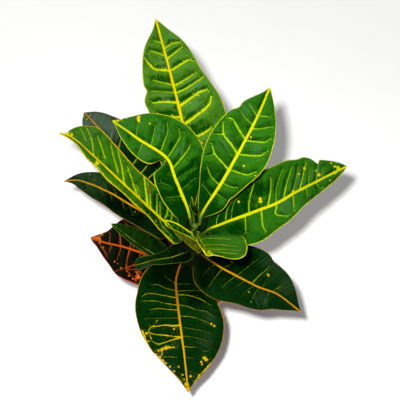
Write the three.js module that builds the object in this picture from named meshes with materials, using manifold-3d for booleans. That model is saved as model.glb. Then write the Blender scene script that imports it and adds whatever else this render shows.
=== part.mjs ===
// A croton (a house plant with broad, yellow-veined leaves) standing in a plain round pot.
//
// Millimetres, +Z up. The origin is the middle of the pot's flat base, and the pot stands on Z = 0.
// The pot, the soil, the woody stem and each leaf are bodies of their own. A leaf is one closed
// blade with its stalk, lofted along a spine that runs from the stem to the leaf's tip.

import * as THREE from 'three';
import { mergeVertices } from 'three/addons/utils/BufferGeometryUtils.js';
import Module from 'manifold-3d';

// ---------------------------------------------------------------- driving dimensions

const CLEARANCE = 0.3; // air kept between bodies that touch on the real plant

const POT = {
  height: 105,
  rimRadius: 58,
  rimDepth: 16, // how far the thicker rim band comes down the wall
  rimStep: 2.2, // how far the rim stands out of the wall under it
  baseRadius: 41,
  wall: 2,
  floor: 3,
  sides: 48,
  edge: 1.5, // bevels at the base and round the rim band
  lip: 1, // how far the rim's top edge is set in
  drainRadius: 4.5,
  drainCircle: 25,
  drainSides: 16,
  drains: 5,
};

const SOIL = {
  top: 92,
  crown: 3, // how much higher the soil lies round the stem than at the wall
  slump: 3, // depth and breadth of the slope down to the wall
  ledge: [0.5, 0.6], // share of the radius and of the crown's height at the mound's shoulder
  collar: 2, // breadth of the level ring at the stem
  dip: 1, // how far the soil drops against the stem
};

const STEM = {
  foot: 40, // the lower end, inside the soil
  top: 274,
  footRadius: 6.4,
  topRadius: 3.6,
  lean: [9, -5], // drift of the crown from the pot's axis, along X and Y
  sides: 12,
  ringSpacing: 11, // leaf scars circle the bare wood this often
  ringHalf: 1.5, // half the height of one scar
  ringRise: 0.3,
  firstRing: 14, // height of the first scar over the soil
  smoothFoot: 8, // height of the plain wood over the soil
  smoothTop: 20, // height without scars at the crown
  budHeight: 7,
  budShoulder: [0.4, 0.8], // height and radius of the bud's shoulder, as shares of the whole
  budTip: 0.15,
};

const BLADE = {
  halfThickness: 0.35,
  ribDepth: 1.1, // how far the midrib stands out under the blade at its base
  stalkRadius: 1.9,
  tipRadius: 0.3,
  columns: 2, // columns of faces in each half of the blade
  rows: 17,
  stalkRows: 4,
  crowding: 0.06, // how much closer together the rows lie at both ends
  blend: 0.08, // share of the blade over which the round stalk flattens out
  unfold: 8, // power by which a folded blade opens flat at its tip
  taper: 0.7, // power by which the midrib thins towards the tip
  knee: [3, 0.3], // run and rise of the stalk's first bend, out of the stem
  ripplePower: 1.5, // how strongly the ripples keep to the margin
  rippleShift: 1.7, // how far the right half's ripples run behind the left's, in radians
  notchRows: [1.9, 1.2], // rows cleared round a notch and those put beside it, in spreads
};

// Where along the blade, from its base (0) to its tip (1), the half-widths below are given.
const STATIONS = [0, 0.06, 0.16, 0.32, 0.5, 0.68, 0.84, 0.95, 1];

// Leaves, from the top of the plant down. Each one holds:
//   root    heading round the stem (degrees from +X) and height of the stalk's foot
//   spine   the points that the midrib runs through after the foot, the last one being the tip
//   stalk   length of the bare stalk before the blade starts
//   left, right   half-widths at the inner stations, seen from above looking to the tip
//   fold    how far each half is lifted from flat, left and right, in degrees
//   twist   how far that lift changes from the blade's middle to its tip, where it does
//   unfold  its own power for opening flat at the tip, where it has one
//   wave    height of the ripples at the margin, and how many there are along the blade
//   notches cuts in the margin: side, place along the blade, depth and spread as fractions, and
//           with a depth below 0 a place where the margin stands out
//   tone    which of the three leaf colours it has
const LEAVES = [
  {
    name: 'leaf_01_tall_back',
    tone: 'young',
    root: { heading: 100, height: 251 },
    spine: [[6, 26, 268], [4, 52, 284], [-4, 98, 300], [-16, 146, 312], [-32, 207, 320]],
    stalk: 18,
    left: [9, 18, 31, 31, 29.4, 21, 5.4],
    right: [9, 19, 40, 43.7, 31.3, 21.9, 6.9],
    fold: [14, 10],
    wave: [1.5, 4],
    notches: [['left', 0.635, 0.08, 0.022], ['left', 0.575, -0.1, 0.035]],
  },
  {
    name: 'leaf_02_bent_left',
    tone: 'young',
    root: { heading: 120, height: 264 },
    spine: [[1, 13, 282], [-10, 35, 302], [-19, 53, 314], [-46, 71, 318], [-74, 96, 308]],
    stalk: 10,
    left: [11, 17, 20.5, 16, 16, 9, 2.2],
    right: [3.5, 12, 28, 36, 33, 22.5, 7],
    fold: [10, 12],
    wave: [1.2, 4],
    notches: [['left', 0.495, 1, 0.035], ['left', 0.6, -0.12, 0.05]],
  },
  {
    name: 'leaf_03_right_top',
    tone: 'young',
    root: { heading: 50, height: 270 },
    spine: [[17, 6, 288], [37, 30, 316], [57, 62, 334], [70, 87, 340], [82, 116, 340]],
    stalk: 16,
    left: [5, 13, 24.5, 31.5, 28.5, 17, 4.5],
    right: [6.5, 14.5, 19.4, 29, 25, 14, 4.7],
    fold: [12, 8],
    wave: [1.2, 4],
    notches: [['left', 0.78, 0.11, 0.03], ['right', 0.24, 0.08, 0.04]],
  },
  {
    name: 'leaf_04_far_right',
    tone: 'young',
    root: { heading: -15, height: 254 },
    spine: [[27, -3, 266], [60, 5, 282], [89, 14, 290], [111, 27, 290], [165, 60, 276]],
    stalk: 13,
    left: [12, 26, 37, 35, 31, 19.5, 9.5],
    right: [14, 27, 30.5, 20, 13.5, 9, 3.5],
    fold: [8, 8],
    wave: [1.2, 5],
    notches: [['left', 0.83, 0.25, 0.015], ['left', 0.775, -0.13, 0.035]],
  },
  {
    name: 'leaf_05_long_left',
    tone: 'young',
    root: { heading: 195, height: 236 },
    spine: [[-10, -3, 250], [-39, 18, 270], [-90, 64, 282], [-119, 93, 274], [-134, 99, 272]],
    stalk: 10,
    left: [12, 10.5, 7.5, 9, 8, 4, 2.5],
    right: [14, 20, 20, 19.5, 23, 23.5, 10],
    fold: [25, 12],
    wave: [1, 5],
    notches: [['right', 0.97, 0.9, 0.03]],
  },
  {
    name: 'leaf_06_front_raised',
    tone: 'young',
    root: { heading: -60, height: 270 },
    spine: [[11, -19, 290], [17, -40, 325], [21, -57, 352]],
    stalk: 10,
    left: [15, 28, 38, 42, 40, 33, 18],
    right: [3, 6, 9, 10, 10, 8, 4],
    fold: [-15, 57],
    twist: [-12, 0],
    unfold: 40,
    wave: [0.8, 3],
    notches: [],
  },
  {
    name: 'leaf_07_folded_small',
    tone: 'young',
    root: { heading: -75, height: 222 },
    spine: [[13, -20, 236], [2, -18, 255], [-10, -10, 269], [-21, 1, 278]],
    stalk: 16,
    left: [2, 5, 10, 14, 12, 8, 3],
    right: [2, 5, 10, 14, 12, 8, 3],
    fold: [108, 48],
    wave: [0, 1],
    notches: [],
  },
  {
    name: 'leaf_08_upright_slip',
    tone: 'young',
    root: { heading: 35, height: 252 },
    spine: [[18, 4, 256], [17, 9, 263], [12, 11, 275], [8, 12, 286], [6, 17, 301]],
    stalk: 14,
    left: [2, 4, 5.5, 5.5, 4, 2, 1],
    right: [1.5, 2, 2, 2, 1.5, 1, 0.5],
    fold: [20, 40],
    wave: [0, 1],
    notches: [],
  },
  {
    name: 'leaf_09_left_shaded',
    tone: 'mature',
    root: { heading: 135, height: 218 },
    spine: [[-12, 21, 234], [-39, 48, 246], [-61, 75, 252], [-86, 105, 250], [-114, 138, 242]],
    stalk: 8,
    left: [11, 14, 19.5, 25.5, 24.5, 17.8, 8.8],
    right: [14, 16, 21, 29.5, 28, 20, 10.5],
    fold: [8, 8],
    wave: [1, 4],
    notches: [],
  },
  {
    name: 'leaf_10_left_long_dark',
    tone: 'mature',
    root: { heading: 160, height: 202 },
    spine: [[-18, 12, 214], [-40, 24, 223], [-61, 35, 228], [-87, 52, 224], [-118, 68, 214],
      [-138, 70, 208]],
    stalk: 22,
    left: [14, 16, 17, 16, 14, 9, 2],
    right: [6, 15, 19, 19, 17, 11, 3],
    fold: [10, 8],
    wave: [0.8, 4],
    notches: [],
  },
  {
    name: 'leaf_11_hidden_right',
    tone: 'mature',
    root: { heading: 62, height: 228 },
    spine: [[23, 20, 246], [42, 36, 256], [61, 59, 262], [73, 84, 262]],
    stalk: 7,
    left: [9, 13, 18, 20, 17, 11, 4],
    right: [7, 13, 18, 20, 17, 11, 4],
    fold: [10, 10],
    wave: [0.8, 3],
    notches: [],
  },
  {
    name: 'leaf_12_lower_right',
    tone: 'mature',
    root: { heading: -55, height: 200 },
    spine: [[16, -17, 214], [36, -33, 222], [56, -45, 226], [75, -55, 226], [95, -62, 222],
      [119, -78, 212]],
    stalk: 16,
    left: [14, 25, 32, 36, 29, 16, 5],
    right: [15, 28.5, 33, 27, 21, 12, 3],
    fold: [8, 8],
    wave: [1, 4],
    notches: [],
  },
  {
    name: 'leaf_13_curled_narrow',
    tone: 'mature',
    root: { heading: 225, height: 190 },
    spine: [[-3, -12, 204], [-18, -19, 211], [-36, -22, 211], [-57, -26, 203]],
    stalk: 10,
    left: [6, 10, 8, 6, 5, 6, 5],
    right: [7, 12, 11, 7, 5, 7, 5],
    fold: [15, 15],
    wave: [0.6, 3],
    notches: [],
  },
  {
    name: 'leaf_14_left_folded',
    tone: 'mature',
    root: { heading: 210, height: 180 },
    spine: [[-16, -14, 190], [-32, -13, 197], [-46, -6, 201], [-62, 5, 203], [-84, 22, 203]],
    stalk: 20,
    left: [3, 4, 4.5, 4.5, 4, 3, 1.5],
    right: [6, 12, 15, 15, 12, 8, 3],
    fold: [30, 12],
    wave: [0.5, 3],
    notches: [],
  },
  {
    name: 'leaf_15_front_broad',
    tone: 'mature',
    root: { heading: -120, height: 164 },
    spine: [[-6, -14, 177], [-12, -36, 186], [-11, -56, 186], [-6, -95, 174], [-3, -116, 163],
      [1, -153, 144]],
    stalk: 20,
    left: [24, 39, 41, 46.5, 40, 22, 5.5],
    right: [20, 35.5, 45, 42.5, 30, 14, 3.5],
    fold: [6, 6],
    wave: [1, 5],
    notches: [],
  },
  {
    name: 'leaf_16_red_left',
    tone: 'old',
    root: { heading: 185, height: 156 },
    spine: [[-14, -12, 166], [-37, -8, 172], [-52, -3, 174], [-74, 5, 171], [-95, 12, 164],
      [-113, 21, 155]],
    stalk: 22,
    left: [17, 31, 35, 33, 21, 8.5, 3.5],
    right: [14, 27, 35, 38, 29, 12.5, 4],
    fold: [6, 6],
    wave: [1, 3],
    notches: [],
  },
  {
    name: 'leaf_17_lowest_front',
    tone: 'old',
    root: { heading: -80, height: 130 },
    spine: [[5, -22, 136], [4, -45, 140], [4, -72, 132], [8, -104, 112]],
    stalk: 18,
    left: [12, 20, 24, 25, 20, 12, 4],
    right: [12, 20, 24, 25, 20, 12, 4],
    fold: [8, 8],
    wave: [0.8, 3],
    notches: [],
  },
  {
    name: 'leaf_18_red_inner',
    tone: 'old',
    root: { heading: 160, height: 138 },
    spine: [[-14, 4, 150], [-32, 12, 158], [-52, 22, 158], [-76, 36, 150]],
    stalk: 10,
    left: [14, 21, 24, 23, 18, 11, 4],
    right: [10, 18, 22, 22, 18, 11, 4],
    fold: [8, 8],
    wave: [0.8, 3],
    notches: [],
  },
];

// ---------------------------------------------------------------- materials

function finish(color, roughness) {
  return new THREE.MeshStandardMaterial({ color, roughness, metalness: 0 });
}

const MATERIALS = {
  pot: finish(0xa85a3c, 0.6),
  soil: finish(0x3a2a1e, 0.95),
  wood: finish(0x7c6a4e, 0.8),
  young: finish(0x3f7d1f, 0.4),
  mature: finish(0x163a1c, 0.4),
  old: finish(0x2a1c18, 0.45),
};

// ---------------------------------------------------------------- stem

// The stem leaves the soil upright and drifts sideways as it rises.
function stemAxis(height) {
  const rise = THREE.MathUtils.clamp((height - SOIL.top) / (STEM.top - SOIL.top), 0, 1);
  const drift = rise * rise * (3 - 2 * rise);
  return new THREE.Vector3(STEM.lean[0] * drift, STEM.lean[1] * drift, height);
}

function stemRadius(height) {
  const rise = (height - STEM.foot) / (STEM.top - STEM.foot);
  return THREE.MathUtils.lerp(STEM.footRadius, STEM.topRadius, rise);
}

// A closed body from rings of points, each ring running the same way round, with flat ends.
function loft(rings) {
  const count = rings[0].length;
  const positions = [];
  const index = [];
  rings.forEach((ring) => ring.forEach((point) => positions.push(point.x, point.y, point.z)));
  for (let row = 0; row < rings.length - 1; row += 1) {
    for (let k = 0; k < count; k += 1) {
      const a = row * count + k;
      const b = row * count + ((k + 1) % count);
      index.push(a, b, b + count, a, b + count, a + count);
    }
  }
  const last = (rings.length - 1) * count;
  for (let k = 1; k < count - 1; k += 1) {
    index.push(0, k + 1, k);
    index.push(last, last + k, last + k + 1);
  }
  const geometry = new THREE.BufferGeometry();
  geometry.setAttribute('position', new THREE.Float32BufferAttribute(positions, 3));
  geometry.setIndex(index);
  geometry.computeVertexNormals();
  return geometry;
}

function stemRing(height, radius) {
  const centre = stemAxis(height);
  return Array.from({ length: STEM.sides }, (_, k) => {
    const angle = (k / STEM.sides) * Math.PI * 2;
    return new THREE.Vector3(
      centre.x + radius * Math.cos(angle),
      centre.y + radius * Math.sin(angle),
      height,
    );
  });
}

function stemGeometry() {
  const bare = SOIL.top + STEM.smoothFoot;
  const rings = [stemRing(STEM.foot, STEM.footRadius), stemRing(bare, stemRadius(bare))];
  const scars = Math.floor((STEM.top - SOIL.top - STEM.smoothTop) / STEM.ringSpacing);
  for (let k = 0; k < scars; k += 1) {
    const height = SOIL.top + STEM.firstRing + k * STEM.ringSpacing;
    const radius = stemRadius(height);
    rings.push(stemRing(height, radius));
    rings.push(stemRing(height + STEM.ringHalf, radius + STEM.ringRise * (1 - k / scars)));
    rings.push(stemRing(height + STEM.ringHalf * 2, radius));
  }
  const [shoulder, girth] = STEM.budShoulder;
  rings.push(stemRing(STEM.top, STEM.topRadius));
  rings.push(stemRing(STEM.top + STEM.budHeight * shoulder, STEM.topRadius * girth));
  rings.push(stemRing(STEM.top + STEM.budHeight, STEM.topRadius * STEM.budTip));
  return loft(rings);
}

// ---------------------------------------------------------------- leaves

// A smooth value through the given stations, from the slopes between their neighbours.
function through(values, place) {
  const last = STATIONS.length - 1;
  let k = 0;
  while (k < last - 1 && place > STATIONS[k + 1]) {
    k += 1;
  }
  const slope = (i) => {
    const before = Math.max(i - 1, 0);
    const after = Math.min(i + 1, last);
    return (values[after] - values[before]) / (STATIONS[after] - STATIONS[before]);
  };
  const span = STATIONS[k + 1] - STATIONS[k];
  const t = (place - STATIONS[k]) / span;
  const t2 = t * t;
  const t3 = t2 * t;
  return (
    (2 * t3 - 3 * t2 + 1) * values[k] +
    (t3 - 2 * t2 + t) * span * slope(k) +
    (3 * t2 - 2 * t3) * values[k + 1] +
    (t3 - t2) * span * slope(k + 1)
  );
}

function halfWidth(leaf, side, place) {
  let width = Math.max(through([0, ...leaf[side], 0], place), 0);
  leaf.notches.forEach(([notched, at, depth, spread]) => {
    if (notched === side) {
      width *= 1 - depth * Math.exp(-(((place - at) / spread) ** 2));
    }
  });
  return width;
}

function spineCurve(leaf) {
  const heading = THREE.MathUtils.degToRad(leaf.root.heading);
  const outward = new THREE.Vector3(Math.cos(heading), Math.sin(heading), 0);
  const seat = stemRadius(leaf.root.height) + STEM.ringRise + CLEARANCE;
  const foot = stemAxis(leaf.root.height).addScaledVector(outward, seat);
  const [run, rise] = BLADE.knee;
  const knee = foot.clone().addScaledVector(outward, run).setZ(foot.z + rise);
  const points = [foot, knee, ...leaf.spine.map(([x, y, z]) => new THREE.Vector3(x, y, z))];
  return new THREE.CatmullRomCurve3(points, false, 'catmullrom', 0.5);
}

// Places along the blade where rows of faces lie: even steps, closer together at both ends,
// and three more at each notch.
function bladeRows(leaf) {
  const rows = [];
  for (let k = 0; k <= BLADE.rows; k += 1) {
    const t = k / BLADE.rows;
    rows.push(t - BLADE.crowding * Math.sin(2 * Math.PI * t));
  }
  const [cleared, beside] = BLADE.notchRows;
  leaf.notches.forEach(([, at, , spread]) => {
    const kept = rows.filter((place) => place === 1 || Math.abs(place - at) > spread * cleared);
    rows.length = 0;
    const added = [at - spread * beside, at, at + spread * beside];
    rows.push(...kept, ...added.filter((place) => place < 1));
  });
  return rows.sort((a, b) => a - b);
}

function leafGeometry(leaf) {
  const curve = spineCurve(leaf);
  const length = curve.getLength();
  const start = leaf.stalk / length;
  const up = new THREE.Vector3(0, 0, 1);
  const columns = [];
  for (let c = -BLADE.columns; c <= BLADE.columns; c += 1) {
    columns.push(c / BLADE.columns);
  }

  const stations = [];
  for (let k = 0; k < BLADE.stalkRows; k += 1) {
    stations.push({ along: (start * k) / BLADE.stalkRows, place: 0, stalk: 1 });
  }
  bladeRows(leaf).forEach((place) => {
    const stalk = Math.max(1 - place / BLADE.blend, 0);
    stations.push({ along: start + (1 - start) * place, place, stalk });
  });

  const upper = [];
  const lower = [];
  stations.forEach(({ along, place, stalk }) => {
    const centre = curve.getPointAt(Math.min(along, 1));
    const tangent = curve.getTangentAt(Math.min(along, 1));
    const left = up.clone().cross(tangent).normalize();
    const normal = tangent.clone().cross(left);
    const core = THREE.MathUtils.lerp(BLADE.stalkRadius, BLADE.tipRadius, place ** BLADE.taper);
    const ripple = leaf.wave[0] * Math.sin(Math.PI * place);
    columns.forEach((v) => {
      const side = v < 0 ? 'left' : 'right';
      const reach = Math.abs(v);
      const width = core + (stalk < 1 ? halfWidth(leaf, side, place) : 0);
      const half = v < 0 ? 0 : 1;
      const twist = leaf.twist ? leaf.twist[half] * (2 * place - 1) : 0;
      const fold = v === 0 ? 0 : THREE.MathUtils.degToRad(leaf.fold[half] + twist);
      const lift = fold * (1 - stalk) * (1 - place ** (leaf.unfold ?? BLADE.unfold));
      const outward = left.clone().multiplyScalar(-Math.sign(v) * Math.cos(lift));
      outward.addScaledVector(normal, Math.sin(lift));
      const face = normal.clone().multiplyScalar(Math.cos(lift));
      face.addScaledVector(left, Math.sign(v) * Math.sin(lift));
      const phase = 2 * Math.PI * leaf.wave[1] * place + (v < 0 ? 0 : BLADE.rippleShift);
      const wave = ripple * reach ** BLADE.ripplePower * Math.sin(phase);
      const point = centre.clone().addScaledVector(outward, width * reach);
      point.addScaledVector(face, wave);
      const bulge = (BLADE.stalkRadius - BLADE.halfThickness) * stalk;
      const round = Math.sqrt(1 - reach * reach) * bulge;
      const rib = BLADE.ribDepth * (1 - place) * (1 - reach) ** 3 * (1 - stalk);
      upper.push(point.clone().addScaledVector(face, BLADE.halfThickness + round));
      lower.push(point.clone().addScaledVector(face, -BLADE.halfThickness - round - rib));
    });
  });
  return bladeSolid(upper, lower, stations.length, columns.length);
}

// Both faces of the blade are split along the same diagonals, and closed round the edge.
function bladeSolid(upper, lower, rows, columns) {
  const positions = [];
  [...upper, ...lower].forEach((point) => positions.push(point.x, point.y, point.z));
  const under = upper.length;
  const index = [];
  const quad = (a, b, c, d) => index.push(a, b, c, a, c, d);
  for (let row = 0; row < rows - 1; row += 1) {
    for (let c = 0; c < columns - 1; c += 1) {
      const a = row * columns + c;
      const b = a + 1;
      const d = a + columns;
      const e = d + 1;
      index.push(a, b, e, a, e, d);
      index.push(under + a, under + e, under + b, under + a, under + d, under + e);
    }
    const left = row * columns;
    const right = left + columns - 1;
    quad(left, left + columns, under + left + columns, under + left);
    quad(right, under + right, under + right + columns, right + columns);
  }
  const last = (rows - 1) * columns;
  for (let c = 0; c < columns - 1; c += 1) {
    quad(c, under + c, under + c + 1, c + 1);
    quad(last + c, last + c + 1, under + last + c + 1, under + last + c);
  }
  const geometry = new THREE.BufferGeometry();
  geometry.setAttribute('position', new THREE.Float32BufferAttribute(positions, 3));
  geometry.setIndex(index);
  geometry.computeVertexNormals();
  return geometry;
}

// ---------------------------------------------------------------- pot and soil

// A LatheGeometry turns about Y, so its solids are stood up on Z.
function lathe(profile, sides) {
  const points = profile.map(([radius, height]) => new THREE.Vector2(radius, height));
  const geometry = new THREE.LatheGeometry(points, sides);
  geometry.rotateX(Math.PI / 2);
  return geometry;
}

function wallRadius(height) {
  const wallTop = POT.rimRadius - POT.rimStep;
  return THREE.MathUtils.lerp(POT.baseRadius, wallTop, height / POT.height);
}

function toManifold(wasm, geometry) {
  const bare = geometry.clone();
  bare.deleteAttribute('normal');
  bare.deleteAttribute('uv');
  const merged = mergeVertices(bare, 1e-4);
  return new wasm.Manifold(new wasm.Mesh({
    numProp: 3,
    vertProperties: new Float32Array(merged.attributes.position.array),
    triVerts: new Uint32Array(merged.index.array),
  }));
}

function fromManifold(solid) {
  const mesh = solid.getMesh();
  const geometry = new THREE.BufferGeometry();
  geometry.setAttribute('position', new THREE.BufferAttribute(mesh.vertProperties, 3));
  geometry.setIndex(new THREE.BufferAttribute(mesh.triVerts, 1));
  geometry.computeVertexNormals();
  return geometry;
}

function potGeometry(wasm) {
  const bandFoot = POT.height - POT.rimDepth;
  const shell = lathe([
    [0, 0],
    [POT.baseRadius - POT.edge, 0],
    [wallRadius(POT.edge), POT.edge],
    [wallRadius(bandFoot), bandFoot],
    [POT.rimRadius - POT.lip / 2, bandFoot + POT.edge],
    [POT.rimRadius, POT.height - POT.edge],
    [POT.rimRadius - POT.lip, POT.height],
    [POT.rimRadius - POT.wall - POT.lip, POT.height],
    [wallRadius(bandFoot) - POT.wall, bandFoot],
    [wallRadius(POT.floor) - POT.wall, POT.floor],
    [0, POT.floor],
  ], POT.sides);
  let pot = toManifold(wasm, shell);
  for (let k = 0; k < POT.drains; k += 1) {
    const angle = (k / POT.drains) * Math.PI * 2;
    const [x, y] = [POT.drainCircle * Math.cos(angle), POT.drainCircle * Math.sin(angle)];
    const { drainRadius, drainSides } = POT;
    const drill = new THREE.CylinderGeometry(drainRadius, drainRadius, POT.height, drainSides);
    drill.rotateX(Math.PI / 2);
    drill.translate(x, y, 0);
    pot = pot.subtract(toManifold(wasm, drill));
  }
  return fromManifold(pot);
}

// The soil fills the pot, rises a little to the stem and has a plain hole that the stem stands in.
function soilGeometry() {
  const gap = CLEARANCE;
  const hole = STEM.footRadius + gap;
  const inside = (height) => wallRadius(height) - POT.wall - gap;
  const floor = POT.floor + gap;
  const shore = SOIL.top - SOIL.slump;
  const [ledgeShare, ledgeRise] = SOIL.ledge;
  return lathe([
    [0, floor],
    [inside(floor), floor],
    [inside(shore), shore],
    [inside(SOIL.top) - SOIL.slump, SOIL.top],
    [inside(SOIL.top) * ledgeShare, SOIL.top + SOIL.crown * ledgeRise],
    [hole + SOIL.collar, SOIL.top + SOIL.crown],
    [hole, SOIL.top + SOIL.crown - SOIL.dip],
    [hole, STEM.foot - gap],
    [0, STEM.foot - gap],
  ], POT.sides);
}

// ---------------------------------------------------------------- assembly

function piece(name, geometry, material) {
  const mesh = new THREE.Mesh(geometry, material);
  mesh.name = name;
  return mesh;
}

const wasm = await Module();
wasm.setup();

const plant = new THREE.Group();
plant.add(piece('pot', potGeometry(wasm), MATERIALS.pot));
plant.add(piece('soil', soilGeometry(), MATERIALS.soil));
plant.add(piece('stem', stemGeometry(), MATERIALS.wood));
LEAVES.forEach((leaf) => {
  plant.add(piece(leaf.name, leafGeometry(leaf), MATERIALS[leaf.tone]));
});

export default plant;
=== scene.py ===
"""A croton in a plain round pot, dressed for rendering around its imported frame.

Each leaf is rebuilt as a fine closed blade on the same spine and half-widths as its solid in the
frame. Its veins, splashes and margin are kept on the mesh as attributes, which its material reads
and breaks up with noise. Lengths in the tables are millimetres, and the meshes are in metres.
"""

import math

import bpy
import numpy as np
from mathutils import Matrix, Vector
from mathutils.geometry import delaunay_2d_cdt


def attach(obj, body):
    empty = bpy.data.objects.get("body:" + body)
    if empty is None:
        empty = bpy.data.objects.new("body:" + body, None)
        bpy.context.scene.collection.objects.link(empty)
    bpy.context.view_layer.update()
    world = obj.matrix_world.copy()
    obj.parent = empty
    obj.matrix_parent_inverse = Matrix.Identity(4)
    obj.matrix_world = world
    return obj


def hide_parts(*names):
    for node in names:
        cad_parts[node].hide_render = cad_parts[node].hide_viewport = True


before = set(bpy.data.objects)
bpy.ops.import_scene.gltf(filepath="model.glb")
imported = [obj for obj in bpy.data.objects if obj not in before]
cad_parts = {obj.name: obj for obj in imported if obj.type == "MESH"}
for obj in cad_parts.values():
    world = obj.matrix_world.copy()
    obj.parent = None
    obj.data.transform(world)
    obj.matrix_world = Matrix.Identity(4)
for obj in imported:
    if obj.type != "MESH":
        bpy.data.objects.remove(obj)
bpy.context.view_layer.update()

MM = 0.001

# ---------------------------------------------------------------- the photograph's view

PHOTO_PIXELS = 400  # both ways
FOCAL_PIXELS = 750
SENSOR = 36
VIEW_TARGET = np.array((14.0, 20.7, 282.5))
VIEW_DISTANCE = 750
VIEW_ELEVATION = math.radians(70)

FORWARD = np.array((0.0, math.cos(VIEW_ELEVATION), -math.sin(VIEW_ELEVATION)))
RIGHT = np.array((1.0, 0.0, 0.0))
UP = np.cross(RIGHT, FORWARD)
EYE = VIEW_TARGET - FORWARD * VIEW_DISTANCE


def photo_pixel(points):
    """Where points (mm) fall in the photograph."""
    seen = points - EYE
    scale = FOCAL_PIXELS / (seen @ FORWARD)
    middle = PHOTO_PIXELS / 2
    return np.stack((middle + seen @ RIGHT * scale, middle - seen @ UP * scale), -1)


# ---------------------------------------------------------------- driving dimensions

STEM = {
    "foot": 40,  # this and the next two are heights above the floor
    "soil": 92,
    "top": 274,
    "foot_radius": 6.4,
    "top_radius": 3.6,
    "lean": (9, -5),
    "ring_spacing": 11,  # from one leaf scar to the next
    "first_ring": 14,
    "ring_rise": 0.3,
    "bud_height": 7,
}
BARK = {
    "green": (105, 140),  # heights between which the bark turns green, a dark green partly painted shade
    "bud": (275, 282),
    "scar_rise": 0.25,  # how far the scars stand out besides the solid's rings
    "scar_middle": 1.5,
    "scar_breadth": 1.1,
    "scar_facing": (0.6, 0.4),
    "scar_turn": 2.4,  # radians from one scar to the next
    "smooth_top": 6,
    "unevenness": (0.025, 5, 18),  # as a share of the radius, with its shortest and longest wave
    "bud_power": 2.2,
    "bud_tip": 0.015,
    "arc": 6,  # mm around the stem for each radian
    "row": 0.9,
    "bud_rows": 12,
    "sides": 48,
    "seed": 40,
}
CLEARANCE = 0.3

BLADE = {
    "half_thickness": 0.35,
    "stalk_radius": 1.9,
    "tip_radius": 0.3,
    "crowding": 0.06,
    "blend": 0.08,
    "unfold": 8,
    "taper": 0.7,
    "knee": (3, 0.3),
    "ripple_power": 1.5,
    "ripple_shift": 1.7,
    "grid": 0.85,  # spacing of the fine mesh at the widest place
    "stalk_rows": 14,
    "flat_rim": 6,  # the power by which waves and quilting fade towards the edge
    "thin_rim": (0.55, 8),  # how much of the thickness is gone at the edge, and the power by which it goes
    "quilt": 1.0,  # how far the blade swells up between its side veins
    "rib_rise": 0.35,
    "rib_depth": 1.2,
    "rib_taper": 0.48,
    "rib_round": 0.8,
    "rib_valley": 3,  # mm beside the midrib before the blade swells up
    "rib_start": (0.62, 0.3),  # the midrib's share of its breadth at the stalk, and where it has it all
    "vein_range": (0.3, 1.2),  # strengths of the faintest and the boldest side veins
    "groove_breadth": 3.0,
    "groove_depth": 0.25,
    "flutter": 0.35,  # height of small uneven waves all over the blade
    "flutter_lengths": (14, 40),
    "edge_jitter": 0.15,
    "jitter_lengths": (9, 30),
    "jitter_from": 8,  # half-breadth of the blade from which its edge is fully uneven
}
STATIONS = np.array((0, 0.06, 0.16, 0.32, 0.5, 0.68, 0.84, 0.95, 1))  # places of the half-widths
SPINE_STEPS = 1201  # points by which a spine's length is measured
SIGN = {"left": -1, "right": 1}
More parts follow.
